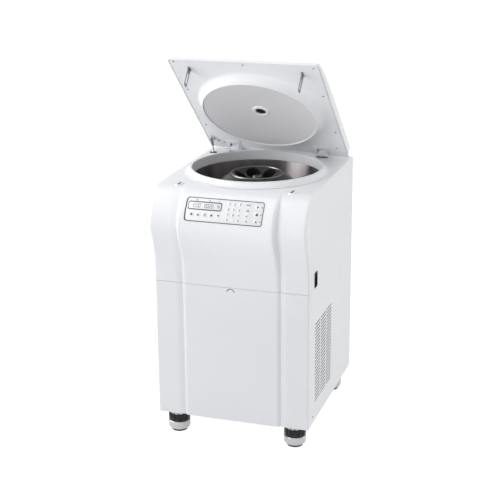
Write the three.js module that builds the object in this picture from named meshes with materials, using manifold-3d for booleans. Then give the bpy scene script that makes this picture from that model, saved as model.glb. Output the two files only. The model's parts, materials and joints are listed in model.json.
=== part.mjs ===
// A floor-standing refrigerated centrifuge with its lid open.
// Millimetres, +Z up, +X to the right of someone who faces the machine, +Y to its rear.
// The origin is on the floor under the middle of the machine.
// Inside the assembly, y is counted from the lower front face and z from the underside of the cabinet.

import * as THREE from "three";
import { mergeGeometries, mergeVertices } from "three/addons/utils/BufferGeometryUtils.js";
import Module from "manifold-3d";

const wasm = await Module();
wasm.setup();

// Cabinet. Its width and depth are those of the bowl's collar with the deck's margins round it.
const deckSideMargin = 20;
const deckFrontMargin = 46;
const deckRearMargin = 48;
const footHeight = 80;
const deckRise = 828;
const splitRise = 493;
const coverWall = 3;
const coverSeam = 2;
const fit = 0.3;
const overrun = 6;

// Shape of the front: an S-shaped outline with a raised centre panel between two soft grooves
const bulgeDepth = 41;
const panelRaise = 20;
const panelSideMargin = 115;
const flankWidth = 15;
const grooveDepth = 3.5;
const grooveRunOut = 13;
const edgeRadius = 4.5;
const cornerRadius = 13;
const coverReturn = 25;
const rollDepth = 62;
const rollDrop = 10;
const notchRadius = 13;
const notchDepth = 1.5;
const notchDrop = 2;

// Bowl, collar and the rings round the bowl
const mouthRadius = 228;
const collarWidth = 27;
const collarOverhang = 6;
const collarRise = 20;
const collarSkirt = 14;
const collarLip = 4;
const collarToe = 1.5;
const bowlMouthStep = 2;
const bowlWall = 2;
const bowlDepth = 243;
const bowlCornerRadius = 40;
const bowlHoleRadius = 30;
const bowlFlangeOverhang = 6;
const coilTubeRadius = 5.2;
const coilGap = 2.8;
const coilTurns = 3;
const coilAboveFloor = 37;
const coilPitch = 52;
const jacketGap = 1.8;
const jacketHoleRadius = 44;
const guardInnerGap = 1.5;
const guardOuterGap = 2.7;
const guardWall = 6;

// Frame
const floorThickness = 6;
const postSize = 30;
const postWall = 2.5;
const railHeight = 25;
const frontFrameDrop = 15;
const frontRailDepth = 15;
const shelfBelowBowl = 43;
const shelfThickness = 8;
const shelfHoleRadius = 60;

// Feet
const footSideMargin = 59;
const footFrontY = 45;
const footRearMargin = 55;
const footRadius = 39;
const footPadRadius = 26;
const footFlangeRadius = 33;
const footFlangeHeight = 13;
const footNeckRadius = 14;
const ringRadius = 38;
const ringHeight = 27;
const ringRecessRadius = 7;
const ringRecessDepth = 3;
const ringRecesses = 6;
const stemRadius = 8;
const stemAbovePlate = 18;
const padHeight = 6;
const cupTaperHeight = 7;

// Lid, written at its closed place
const lidSideMargin = 8;
const lidFrontMargin = 8;
const lidRearMargin = 9;
const lidSeatGap = 1;
const lidHeight = 39;
const lidWall = 3;
const lidCornerRadius = 12;
const lidOpenDegrees = 42.4;
const linerThickness = 3;
const plugGap = 2.5;
const plugTaper = 19.5;
const plugDepth = 31.6;
const plugWall = 3;
const plugRimWidth = 4;
const dishThickness = 2;
const dishCentreDepth = 8.2;
const portRadius = 19;
const portWall = 3;
const portFlangeRadius = 31;
const portFlangeHeight = 4;
const portGlassThickness = 4;

// Hinges
const hingeSideMargin = 107;
const hingeForward = 23.1;
const hingeAbove = 25.1;
const earWidth = 30;
const earRadius = 8;
const earFoot = 18;
const hingePinRadius = 4;
const lugThickness = 3;
const lugRadius = 7;
const leafLength = 52;
const leafThickness = 2;
const leafSideMargin = 5;
const hingePocketWidth = 58;
const hingePocketLength = 48;
const hingeNotchHeight = 28;

// Strikers, latch bolts and their slots
const strikerSideMargin = 76;
const strikerY = 62;
const strikerThickness = 4;
const strikerWidth = 20;
const strikerLength = 68;
const strikerFootWidth = 26;
const strikerFootLength = 30;
const strikerFootThickness = 3;
const strikerSlotWidth = 11;
const strikerSlotLength = 40;
const strikerBridge = 8;
const latchSlotWidth = 8;
const latchSlotLength = 36;
const latchSlotForward = 2;
const latchDishRadius = 22;
const latchDishDepth = 1.6;
const boltWidth = 8;
const boltHeight = 8;
const boltLength = 27;
const boltPlay = 0.6;
const boltLift = 6;
const latchCaseGap = 5;
const latchCaseHeight = 36;
const latchCaseBehind = 14;

// Gas strut
const strutSideMargin = 33;
const strutTopFromRear = 70;
const strutTopBelowLid = 10;
const strutBottomFromRear = 48;
const strutBottomBelowDeck = 188;
const strutRodRadius = 4;
const strutRodLength = 150;
const strutTubeRadius = 9;
const strutTubeBore = 5;
const strutTubeLength = 168;
const strutTubeFloor = 20;
const strutEyeRadius = 7;
const strutEyeWidth = 8;
const strutPinRadius = 3;
const strutLowerEyeRadius = 11.5;
const strutLowerEyeBore = 8.3;
const strutLowerPinRadius = 3.5;
const strutHoleRadius = 10;
const strutHoleFromRear = 80;
const strutPlateSize = 36;
const strutPlateThickness = 4;
const bracketWidth = 14;
const bracketLength = 26;
const bracketThickness = 3;

// Drive and rotor
const motorRadius = 80;
const motorHeight = 170;
const motorFlangeEdge = 5;
const motorFlangeThickness = 8;
const motorNeckRadius = 42;
const mountRadius = 15;
const mountHeight = 16;
const mountCircleRadius = 92;
const mountWeb = 4;
const mountCount = 3;
const shaftRadius = 12;
const shaftConeRadius = 18;
const bootInnerRadius = 22;
const rotorBelowDeck = 6;
const rotorHeight = 200;
const rotorRadius = 165;
const rotorMouthRadius = 92;
const rotorRimWidth = 6;
const rotorShoulderDrop = 56;
const rotorFloorDepth = 34;
const rotorHubRadius = 31;
const rotorSkirtDrop = 160;
const rotorBaseRadius = 78;
const rotorSeatDepth = 60;
const pocketCount = 6;
const pocketRadius = 24;
const pocketDepth = 118;
const pocketTiltDegrees = 12;
const pocketMouthRadius = 58;
const nutRadius = 17;
const nutHeight = 22;
const nutFlangeRadius = 24;
const nutFlangeHeight = 5;

// Refrigeration
const compressorRadius = 82;
const compressorHeight = 190;
const compressorX = -70;
const compressorFromRear = 134;
const compressorStubRadius = 7;
const compressorStubHeight = 16;
const compressorFootHeight = 10;
const compressorFootRadius = 96;
const condenserSideGap = 7.7;
const condenserThickness = 32;
const condenserFrontY = 88;
const condenserLength = 226;
const condenserHeight = 262;
const finDepth = 3;
const finCount = 9;
const shroudDepth = 30;
const shroudMargin = 14;
const fanRadius = 92;
const fanTipGap = 6;
const fanHubRadius = 24;
const fanBladeCount = 5;
const fanBladeThickness = 3;
const fanDepth = 18;
const fanBladeDegrees = 38;
const fanShaftRadius = 5;
const fanArmWidth = 14;
const fanArmDepth = 6;
const lineRadius = 5;
const lineRise = 60;

// Electrics
const boxWidth = 110;
const boxHeight = 300;
const boxSideGap = 18.7;
const boxRearGap = 64;
const boxFrontY = 70;
const inletSideMargin = 95;
const inletRise = 96;
const inletWidth = 50;
const inletHeight = 30;
const inletDepth = 30;
const inletFlange = 5;
const inletFlangeThickness = 2.5;
const inletWall = 4;
const inletPinWidth = 3;
const switchY = 86;
const switchAboveSplit = 29;
const switchWidth = 38;
const switchHeight = 55;
const switchFlange = 3;
const switchFlangeThickness = 2.5;
const switchDepth = 30;
const switchWall = 3;
const rockerProud = 2;
const rockerTiltDegrees = 8;
const rockerPinRadius = 2;
const rockerPinDepth = 6;
const rockerGap = 1;

// Control panel
const plateLeftMargin = 18;
const plateRightMargin = 32;
const plateBelowDeck = 23.5;
const plateHeight = 70.5;
const plateThickness = 1.2;
const windowWidth = 115;
const windowMargin = 7;
const windowBelowDeck = 37;
const windowHeight = 20;
const windowThickness = 0.8;
const boardSideMargin = 40;
const boardThickness = 2;
const boardRailGap = 7.45;
const standoffRadius = 4;
const standoffMargin = 10;

// Side and rear panels
const ventFrontY = 85;
const ventLength = 229;
const ventRise = 71;
const ventHeight = 285;
const ventColumns = 3;
const ventPitch = 8.6;
const slotHeight = 3.8;
const slotGap = 7;
const rearVentWidth = 260;
const rearVentRise = 150;
const rearVentHeight = 180;
const rearVentPitch = 15;
const rearVentColumns = 2;

// Side counts of the round pieces and steps of the curved ones
const bigSides = 48;
const ringSides = 36;
const midSides = 20;
const smallSides = 12;
const pipeSides = 8;
const coilSides = 5;
const coilSteps = 24;
const outlineSteps = 20;

const collarRadius = mouthRadius + collarWidth;
const collarBodyRadius = collarRadius - collarOverhang;
const bowlFlangeRadius = collarRadius + bowlFlangeOverhang;
const bowlRadius = mouthRadius - bowlMouthStep;
const bowlY = deckFrontMargin + collarRadius;
const bowlFloorRise = deckRise - bowlDepth;
const cabinetWidth = 2 * (collarRadius + deckSideMargin);
const cabinetDepth = bowlY + collarRadius + deckRearMargin;
const halfWidth = cabinetWidth / 2;
const innerHalfWidth = halfWidth - coverWall - fit;
const panelHalfWidth = halfWidth - panelSideMargin;
const innerRearY = cabinetDepth - coverWall - fit;
const deckUnderside = deckRise - coverWall;
const frameTop = deckUnderside - fit;
const collarTop = deckRise + collarRise;
const collarBottom = deckRise - collarSkirt;
const shelfRise = bowlFloorRise - shelfBelowBowl;
const shelfTop = shelfRise + shelfThickness;
const lidUnderside = collarTop + lidSeatGap;
const lidWidth = cabinetWidth - 2 * lidSideMargin;
const lidRearY = cabinetDepth - lidRearMargin;
const lidLength = lidRearY - lidFrontMargin;
const hingeX = halfWidth - hingeSideMargin;
const hingeY = lidRearY - hingeForward;
const hingeRise = lidUnderside + hingeAbove;
const strikerX = halfWidth - strikerSideMargin;
const strutX = strutSideMargin - halfWidth;
const strutHoleY = cabinetDepth - strutHoleFromRear;
const inletX = halfWidth - inletSideMargin;
const rotorTopRise = deckRise - rotorBelowDeck;
const rotorBottomRise = rotorTopRise - rotorHeight;

// Solids

function degrees(angle) {
  return (angle * Math.PI) / 180;
}

// A closed geometry becomes a solid that can be joined and cut.
function solid(geometry) {
  const bare = geometry.index ? geometry.toNonIndexed() : geometry.clone();
  bare.deleteAttribute("normal");
  bare.deleteAttribute("uv");
  const merged = mergeVertices(bare, fit / 100);
  const corners = merged.index.array;
  const kept = [];
  for (let i = 0; i < corners.length; i += 3) {
    const [a, b, c] = [corners[i], corners[i + 1], corners[i + 2]];
    if (a !== b && b !== c && c !== a) kept.push(a, b, c);
  }
  return new wasm.Manifold(
    new wasm.Mesh({
      numProp: 3,
      vertProperties: merged.attributes.position.array,
      triVerts: new Uint32Array(kept),
    }),
  );
}

function geometryOf(body) {
  const mesh = body.getMesh();
  const geometry = new THREE.BufferGeometry();
  geometry.setAttribute("position", new THREE.BufferAttribute(mesh.vertProperties, 3));
  geometry.setIndex(new THREE.BufferAttribute(mesh.triVerts, 1));
  return geometry;
}

function joined(first, ...others) {
  return others.reduce((body, other) => body.add(other), first);
}

function cut(body, ...cutters) {
  return cutters.reduce((rest, cutter) => rest.subtract(cutter), body);
}

// A box from its lowest to its highest corner.
function block([x0, y0, z0], [x1, y1, z1]) {
  const geometry = new THREE.BoxGeometry(x1 - x0, y1 - y0, z1 - z0);
  return solid(geometry.translate((x0 + x1) / 2, (y0 + y1) / 2, (z0 + z1) / 2));
}

// A ring or a round body about the Z axis, from a closed outline of (radius, height) points.
function turned(points, sides, [x, y] = [0, 0]) {
  const outline = points.map(([radius, height]) => new THREE.Vector2(radius, height));
  outline.push(outline[0].clone());
  const body = solid(new THREE.LatheGeometry(outline, sides).rotateX(Math.PI / 2).translate(x, y, 0));
  return body;
}

// A straight cylinder between two heights.
function disc(radius, low, high, [x, y], sides) {
  const geometry = new THREE.CylinderGeometry(radius, radius, high - low, sides).rotateX(Math.PI / 2);
  return solid(geometry.translate(x, y, (low + high) / 2));
}

// A cylinder along X between two places.
function pin(radius, left, right, [y, z], sides) {
  const geometry = new THREE.CylinderGeometry(radius, radius, right - left, sides).rotateZ(Math.PI / 2);
  return solid(geometry.translate((left + right) / 2, y, z));
}

// A flat plate from its outline in the XY plane.
function plate(points, low, high) {
  const shape = new THREE.Shape(points.map(([x, y]) => new THREE.Vector2(x, y)));
  const geometry = new THREE.ExtrudeGeometry(shape, { depth: high - low, bevelEnabled: false });
  return solid(geometry.translate(0, 0, low));
}

// A plate from its outline in the YZ plane, between two places on X.
function sidePlate(points, left, right) {
  const shape = new THREE.Shape(points.map(([y, z]) => new THREE.Vector2(y, z)));
  const geometry = new THREE.ExtrudeGeometry(shape, { depth: right - left, bevelEnabled: false });
  geometry.applyMatrix4(new THREE.Matrix4().set(0, 0, 1, left, 1, 0, 0, 0, 0, 1, 0, 0, 0, 0, 0, 1));
  return solid(geometry);
}

// A round bar or pipe along a curve.
function pipe(curve, radius, steps, sides) {
  const section = new THREE.Shape();
  for (let i = 0; i < sides; i += 1) {
    const angle = (i / sides) * 2 * Math.PI;
    const point = [radius * Math.cos(angle), radius * Math.sin(angle)];
    if (i === 0) section.moveTo(...point);
    else section.lineTo(...point);
  }
  return solid(new THREE.ExtrudeGeometry(section, { steps, extrudePath: curve }));
}

// Covers: an outline in the YZ plane carried across the cabinet, with a displacement along its normal

// Outward normals of an outline that runs from the rear over the top to the front.
function withNormals(points) {
  return points.map((point, i) => {
    const before = points[Math.max(i - 1, 0)];
    const after = points[Math.min(i + 1, points.length - 1)];
    const run = Math.hypot(after.y - before.y, after.z - before.z);
    return { ...point, ny: (after.z - before.z) / run, nz: (before.y - after.y) / run };
  });
}

const cornerStepShares = [0, 0.5, 1];
const flankStepShares = [0, 1 / 3, 2 / 3, 1];

// One half of the cross-section at a point of the outline: pairs of x and outward offset.
function halfSection(point, half, inset) {
  const section = [];
  if (point.raise !== undefined) {
    for (const share of flankStepShares) {
      const blend = (1 + Math.cos(Math.PI * share)) / 2;
      const foot = -point.groove;
      section.push([panelHalfWidth + flankWidth * share, foot + (point.raise - foot) * blend - inset]);
    }
    section.push([panelHalfWidth + flankWidth + grooveRunOut, -inset]);
  }
  const radius = Math.max(point.radius, inset);
  for (const share of cornerStepShares) {
    const angle = (share * Math.PI) / 2;
    const reach = radius - inset;
    const drop = reach * (1 - Math.cos(angle));
    section.push([half - radius + reach * Math.sin(angle), -inset - drop]);
  }
  return section;
}

function ringAcross(point, half, inset) {
  const right = halfSection(point, half, inset);
  const left = right.map(([x, offset]) => [-x, offset]).reverse();
  return [...left, ...right].map(([x, offset]) => [
    x,
    point.y + point.ny * offset,
    point.z + point.nz * offset,
  ]);
}

// A closed body through rings that follow each other round the outline, with flat cheeks at both sides.
function loft(rings) {
  const columns = rings[0].length;
  const positions = [];
  const addTriangle = (a, b, c) => positions.push(...a, ...b, ...c);
  rings.forEach((ring, i) => {
    const next = rings[(i + 1) % rings.length];
    for (let j = 0; j < columns - 1; j += 1) {
      addTriangle(ring[j], next[j], next[j + 1]);
      addTriangle(ring[j], next[j + 1], ring[j + 1]);
    }
  });
  for (const side of [0, columns - 1]) {
    const edge = rings.map((ring) => ring[side]);
    const outline = edge.map(([, y, z]) => new THREE.Vector2(y, z));
    const area = THREE.ShapeUtils.area(outline);
    for (const [a, b, c] of THREE.ShapeUtils.triangulateShape(outline, [])) {
      const turn = THREE.ShapeUtils.area([outline[a], outline[b], outline[c]]) * area > 0;
      const corners = turn === (side > 0) ? [a, b, c] : [c, b, a];
      addTriangle(...corners.map((corner) => edge[corner]));
    }
  }
  const geometry = new THREE.BufferGeometry();
  return solid(geometry.setAttribute("position", new THREE.Float32BufferAttribute(positions, 3)));
}

// The front outline above the split. Each row holds shares: height above the split, reach forward,
// and raise of the centre panel.
const frontOutlineShares = [
  [1, -1.5, 0],
  [0.995, -1, 0.03],
  [0.98, -0.55, 0.12],
  [0.95, -0.1, 0.3],
  [0.9, 0.22, 0.55],
  [0.83, 0.56, 0.8],
  [0.76, 0.82, 0.95],
  [0.68, 0.98, 1],
  [0.62, 1, 1],
  [0.56, 0.9, 0.96],
  [0.485, 0.67, 0.86],
  [0.41, 0.45, 0.7],
  [0.335, 0.25, 0.53],
  [0.26, 0.1, 0.38],
  [0.19, 0.03, 0.25],
  [0.11, 0, 0.16],
];
const lowRaiseShare = 0.12;
const upperHeight = deckRise - splitRise;

function frontPoint(y, z, raiseShare) {
  return {
    y,
    z,
    raise: panelRaise * raiseShare,
    groove: grooveDepth * Math.min(1, raiseShare / lowRaiseShare),
    radius: edgeRadius + (cornerRadius - edgeRadius) * raiseShare,
  };
}

const frontCurve = new THREE.CatmullRomCurve3(
  frontOutlineShares.map(
    ([rise, reach, raise]) =>
      new THREE.Vector3(-reach * bulgeDepth, splitRise + rise * upperHeight, raise * bulgeDepth),
  ),
);
const frontRows = frontCurve
  .getPoints(outlineSteps)
  .map(({ x, y, z }) => frontPoint(x, Math.min(y, deckRise), Math.max(z / bulgeDepth, 0)));

function outlineRing(points, backs, half, inset) {
  const corners = backs.map(([y, z]) => ({ ...points[0], y, z, ny: 0, nz: 0 }));
  return [...withNormals(points), ...corners].map((point) => ringAcross(point, half, inset));
}

// Everything behind the surface of the top cover, drawn in by inset.
function topBlock(inset, spare) {
  const rear = frontPoint(cabinetDepth + spare, deckRise, 0);
  const bottom = frontPoint(0, splitRise + coverSeam - spare, lowRaiseShare);
  const backs = [[cabinetDepth + spare, splitRise + coverSeam - spare]];
  return loft(outlineRing([rear, ...frontRows, bottom], backs, halfWidth, inset));
}

// Everything behind the surface of the lower front cover, drawn in by inset.
function lowerBlock(inset, spare) {
  const top = frontPoint(0, splitRise + spare, lowRaiseShare);
  const bottom = frontPoint(0, -spare, lowRaiseShare);
  const depth = coverReturn + spare;
  return loft(outlineRing([top, bottom], [[depth, -spare], [depth, splitRise + spare]], halfWidth, inset));
}

const latchPlaces = [-strikerX, strikerX];
const hingePlaces = [-hingeX, hingeX];

// A slot along Y with round ends, as an outline.
function slotOutline(x, y, width, length) {
  const radius = width / 2;
  const reach = length / 2 - radius;
  const points = [];
  for (let i = 0; i <= pipeSides; i += 1) {
    const angle = (i / pipeSides) * Math.PI;
    points.push([x + radius * Math.cos(angle), y + reach + radius * Math.sin(angle)]);
  }
  for (let i = 0; i <= pipeSides; i += 1) {
    const angle = Math.PI + (i / pipeSides) * Math.PI;
    points.push([x + radius * Math.cos(angle), y - reach + radius * Math.sin(angle)]);
  }
  return points;
}

// The outline of a side seen from the right, from a front edge to a rear edge, under the deck's roll.
function sideOutline(front, rear, low, high) {
  return [
    [front, low],
    [rear, low],
    [rear, high],
    [rollDepth, high],
    [front, high - rollDrop * (1 - front / rollDepth)],
  ];
}

function topCover() {
  const low = splitRise - overrun;
  const shell = cut(topBlock(0, 0), topBlock(coverWall, overrun));
  const outline = sideOutline(coverReturn, cabinetDepth + overrun, low, deckUnderside);
  const behind = sidePlate(outline, -cabinetWidth, cabinetWidth);
  const holes = [
    disc(collarBodyRadius + fit, deckUnderside - overrun, deckRise + overrun, [0, bowlY], bigSides),
    disc(strutHoleRadius, deckUnderside - overrun, deckRise + overrun, [strutX, strutHoleY], smallSides),
  ];
  const slotY = strikerY - latchSlotForward;
  for (const x of latchPlaces) {
    const slot = slotOutline(x, slotY, latchSlotWidth, latchSlotLength);
    holes.push(plate(slot, frameTop - overrun, deckRise + overrun));
    const dish = [
      [0, deckRise - latchDishDepth],
      [latchDishRadius * 0.75, deckRise - latchDishDepth],
      [latchDishRadius, deckRise],
      [latchDishRadius, deckRise + overrun],
      [0, deckRise + overrun],
    ];
    holes.push(turned(dish, midSides, [x, slotY]));
  }
  for (const x of hingePlaces) {
    const side = earWidth / 2 + 2 * fit;
    const front = hingeY - earRadius - 2 * fit;
    const rear = hingeY + earRadius + earFoot;
    holes.push(block([x - side, front, frameTop - overrun], [x + side, rear, deckRise + overrun]));
  }
  return cut(shell, behind, ...holes);
}

function lowerFrontCover() {
  const top = splitRise - overrun;
  const shell = cut(lowerBlock(0, 0), lowerBlock(coverWall, overrun));
  const behind = block(
    [-cabinetWidth, coverReturn, -2 * overrun],
    [cabinetWidth, 2 * cabinetDepth, top + 2 * overrun],
  );
  const front = -panelRaise * lowRaiseShare;
  const centre = [0, splitRise - notchDrop - notchRadius];
  const circle = new THREE.CylinderGeometry(notchRadius, notchRadius, notchDepth + overrun, midSides);
  const notch = solid(circle.translate(centre[0], front + (notchDepth - overrun) / 2, centre[1]));
  const keep = block(
    [-cabinetWidth, -cabinetWidth, centre[1]],
    [cabinetWidth, cabinetWidth, splitRise + overrun],
  );
  return cut(shell, behind, notch.intersect(keep));
}

function sidePanel(side) {
  const outer = side * halfWidth;
  const inner = side * (halfWidth - coverWall);
  const outline = sideOutline(coverReturn + coverSeam, cabinetDepth, 0, frameTop);
  return sidePlate(outline, Math.min(inner, outer), Math.max(inner, outer));
}

// Rows of slots in a panel that faces +X, counted from the vent's own size.
function sideVent(left, right) {
  const pitchY = ventLength / ventColumns;
  const rows = Math.floor(ventHeight / ventPitch);
  const cutters = [];
  for (let column = 0; column < ventColumns; column += 1) {
    for (let row = 0; row < rows; row += 1) {
      const y = ventFrontY + column * pitchY;
      const z = ventRise + row * ventPitch;
      cutters.push(block([left, y, z], [right, y + pitchY - slotGap, z + slotHeight]));
    }
  }
  return joined(...cutters);
}

function rightSidePanel() {
  const left = halfWidth - coverWall - overrun;
  const right = halfWidth + overrun;
  const halfY = switchWidth / 2 - switchFlange + fit;
  const halfZ = switchHeight / 2 - switchFlange + fit;
  const opening = block(
    [left, switchY - halfY, switchRise - halfZ],
    [right, switchY + halfY, switchRise + halfZ],
  );
  return cut(sidePanel(1), opening, sideVent(left, right));
}

function rearPanel() {
  const front = cabinetDepth - coverWall;
  const body = block([-innerHalfWidth, front, 0], [innerHalfWidth, cabinetDepth, frameTop]);
  const cutters = [];
  const pitchX = rearVentWidth / rearVentColumns;
  const rows = Math.floor(rearVentHeight / rearVentPitch);
  for (let column = 0; column < rearVentColumns; column += 1) {
    for (let row = 0; row < rows; row += 1) {
      const x = column * pitchX - rearVentWidth / 2;
      const z = rearVentRise + row * rearVentPitch;
      cutters.push(
        block([x, front - overrun, z], [x + pitchX - 2 * slotGap, cabinetDepth + overrun, z + slotHeight]),
      );
    }
  }
  const halfX = inletWidth / 2 + fit;
  const halfZ = inletHeight / 2 + fit;
  cutters.push(
    block(
      [inletX - halfX, front - overrun, inletRise - halfZ],
      [inletX + halfX, cabinetDepth + overrun, inletRise + halfZ],
    ),
  );
  return cut(body, ...cutters);
}

// Frame

function basePlate() {
  const side = innerHalfWidth;
  const front = grooveDepth + coverWall + fit;
  const chamfer = cornerRadius / 2;
  const outline = [
    [-side, front + chamfer],
    [-side + chamfer, front],
    [side - chamfer, front],
    [side, front + chamfer],
    [side, innerRearY],
    [-side, innerRearY],
  ];
  const holes = footPlaces.map(([x, y]) =>
    disc(stemRadius + fit, -overrun, floorThickness + overrun, [x, y], smallSides),
  );
  return cut(plate(outline, 0, floorThickness), ...holes);
}

const footX = halfWidth - footSideMargin;
const footPlaces = [
  [-footX, footFrontY],
  [footX, footFrontY],
  [-footX, cabinetDepth - footRearMargin],
  [footX, cabinetDepth - footRearMargin],
];
const footNames = ["front_left", "front_right", "rear_left", "rear_right"];
const postFrontY = coverWall + cornerRadius + fit;
const postInnerX = innerHalfWidth - postSize;
const postRearY = innerRearY - postSize;

// A square tube standing on the base plate.
function cornerPost(side, y, high) {
  const left = side > 0 ? postInnerX : -innerHalfWidth;
  const low = floorThickness + fit;
  const tube = block([left, y, low], [left + postSize, y + postSize, high]);
  const bore = block(
    [left + postWall, y + postWall, low - overrun],
    [left + postSize - postWall, y + postSize - postWall, high + overrun],
  );
  return cut(tube, bore);
}

const railHalfLength = postInnerX - fit;
const railLow = frameTop - railHeight;
const frontFrameTop = frameTop - frontFrameDrop;

function frontTopRail() {
  const rear = postFrontY + frontRailDepth;
  return block(
    [-railHalfLength, postFrontY, frontFrameTop - railHeight],
    [railHalfLength, rear, frontFrameTop],
  );
}

// The rear rail carries two ears that rise through the deck to the hinge pins.
function hingeBeam() {
  const beam = block([-railHalfLength, postRearY, railLow], [railHalfLength, innerRearY, frameTop]);
  const ears = hingePlaces.map((x) => {
    const [left, right] = [x - earWidth / 2, x + earWidth / 2];
    const foot = sidePlate(
      [
        [hingeY - earRadius, railLow],
        [hingeY + earRadius + earFoot - 2 * fit, railLow],
        [hingeY + earRadius + earFoot - 2 * fit, deckRise],
        [hingeY + earRadius, hingeRise],
        [hingeY - earRadius, hingeRise],
      ],
      left,
      right,
    );
    return joined(foot, pin(earRadius, left, right, [hingeY, hingeRise], midSides));
  });
  const bores = hingePlaces.map((x) =>
    pin(hingePinRadius + fit, x - earWidth, x + earWidth, [hingeY, hingeRise], smallSides),
  );
  return cut(joined(beam, ...ears), ...bores);
}

function motorShelf() {
  const outer = innerHalfWidth;
  const inner = postInnerX - fit;
  const frontCorner = postFrontY + postSize + fit;
  const rearCorner = postRearY - fit;
  const outline = [
    [-inner, postFrontY],
    [inner, postFrontY],
    [inner, frontCorner],
    [outer, frontCorner],
    [outer, rearCorner],
    [inner, rearCorner],
    [inner, innerRearY],
    [-inner, innerRearY],
    [-inner, rearCorner],
    [-outer, rearCorner],
    [-outer, frontCorner],
    [-inner, frontCorner],
  ];
  const hole = disc(shelfHoleRadius, shelfRise - overrun, shelfTop + overrun, [0, bowlY], midSides);
  const half = switchWidth / 2 + overrun;
  const notch = block(
    [halfWidth - switchDepth - overrun, switchY - half, shelfRise - overrun],
    [halfWidth, switchY + half, shelfTop + overrun],
  );
  return cut(plate(outline, shelfRise, shelfTop), hole, notch);
}

// Bowl and the rings round it

const bowlFlangeTop = collarBottom - fit;
const bowlFlangeBottom = bowlFlangeTop - bowlWall;

function bowlCollar() {
  const seat = deckRise + fit;
  const outline = [
    [mouthRadius, collarBottom],
    [collarBodyRadius, collarBottom],
    [collarBodyRadius, seat],
    [collarRadius, seat],
    [collarRadius, seat + collarToe],
    [mouthRadius + 0.6 * (collarRadius - mouthRadius), deckRise + 0.35 * collarRise],
    [mouthRadius + 0.42 * (collarRadius - mouthRadius), deckRise + 0.75 * collarRise],
    [mouthRadius + 2 * collarLip, collarTop - collarLip / 4],
    [mouthRadius + collarLip, collarTop],
    [mouthRadius + collarLip / 2, collarTop],
    [mouthRadius, collarTop - collarLip / 2],
  ];
  return turned(outline, bigSides, [0, bowlY]);
}

function chamberBowl() {
  const floorUnder = bowlFloorRise - bowlWall;
  const outline = [[bowlHoleRadius, floorUnder]];
  const arc = [0, 0.5, 1];
  for (const share of arc) {
    const angle = (share * Math.PI) / 2;
    outline.push([
      bowlRadius - bowlCornerRadius + (bowlCornerRadius + bowlWall) * Math.sin(angle),
      bowlFloorRise + bowlCornerRadius - (bowlCornerRadius + bowlWall) * Math.cos(angle),
    ]);
  }
  outline.push([bowlRadius + bowlWall, bowlFlangeBottom]);
  outline.push([bowlFlangeRadius, bowlFlangeBottom], [bowlFlangeRadius, bowlFlangeTop]);
  outline.push([bowlRadius, bowlFlangeTop]);
  for (const share of [...arc].reverse()) {
    const angle = (share * Math.PI) / 2;
    outline.push([
      bowlRadius - bowlCornerRadius + bowlCornerRadius * Math.sin(angle),
      bowlFloorRise + bowlCornerRadius - bowlCornerRadius * Math.cos(angle),
    ]);
  }
  outline.push([bowlHoleRadius, bowlFloorRise]);
  return turned(outline, bigSides, [0, bowlY]);
}

const coilRadius = bowlRadius + bowlWall + coilGap + coilTubeRadius;
const coilRise = bowlFloorRise + coilAboveFloor;
const guardOuterRadius = innerHalfWidth - guardOuterGap;
const guardInnerRadius = guardOuterRadius - guardWall;
const jacketOuterRadius = guardInnerRadius - guardInnerGap;
const jacketInnerRadius = coilRadius + coilTubeRadius + jacketGap;

class Helix extends THREE.Curve {
  getPoint(share, target = new THREE.Vector3()) {
    const angle = share * coilTurns * 2 * Math.PI;
    return target.set(
      coilRadius * Math.cos(angle),
      bowlY + coilRadius * Math.sin(angle),
      coilRise + share * coilTurns * coilPitch,
    );
  }
}

function evaporatorCoil() {
  return pipe(new Helix(), coilTubeRadius, coilTurns * coilSteps, coilSides);
}

function insulationJacket() {
  const low = shelfTop + fit;
  const floorTop = bowlFloorRise - bowlWall - fit;
  const high = bowlFlangeBottom - fit;
  const outline = [
    [jacketHoleRadius, low],
    [jacketOuterRadius, low],
    [jacketOuterRadius, high],
    [jacketInnerRadius, high],
    [jacketInnerRadius, floorTop],
    [jacketHoleRadius, floorTop],
  ];
  return turned(outline, ringSides, [0, bowlY]);
}

function guardRing() {
  const low = shelfTop + fit;
  const high = bowlFlangeBottom - fit;
  const outline = [
    [guardInnerRadius, low],
    [guardOuterRadius, low],
    [guardOuterRadius, high],
    [guardInnerRadius, high],
  ];
  return turned(outline, ringSides, [0, bowlY]);
}

// Drive

const mountTop = shelfRise - fit;
const mountBottom = mountTop - mountHeight;
const motorFlangeTop = mountBottom - fit;
const motorBodyTop = motorFlangeTop - motorFlangeThickness;
const motorNeckTop = shelfTop + shelfThickness;
const motorFlangeRadius = mountCircleRadius + mountRadius + motorFlangeEdge;

function motorHousing() {
  const outline = [
    [0, motorBodyTop - motorHeight],
    [motorRadius * 0.9, motorBodyTop - motorHeight],
    [motorRadius, motorBodyTop - motorHeight * 0.94],
    [motorRadius, motorBodyTop],
    [motorFlangeRadius, motorBodyTop],
    [motorFlangeRadius, motorFlangeTop],
    [motorNeckRadius, motorFlangeTop],
    [motorNeckRadius, motorNeckTop],
    [shaftRadius + fit, motorNeckTop],
    [shaftRadius + fit, motorBodyTop - fit],
    [0, motorBodyTop - fit],
  ];
  return turned(outline, midSides, [0, bowlY]);
}

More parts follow.
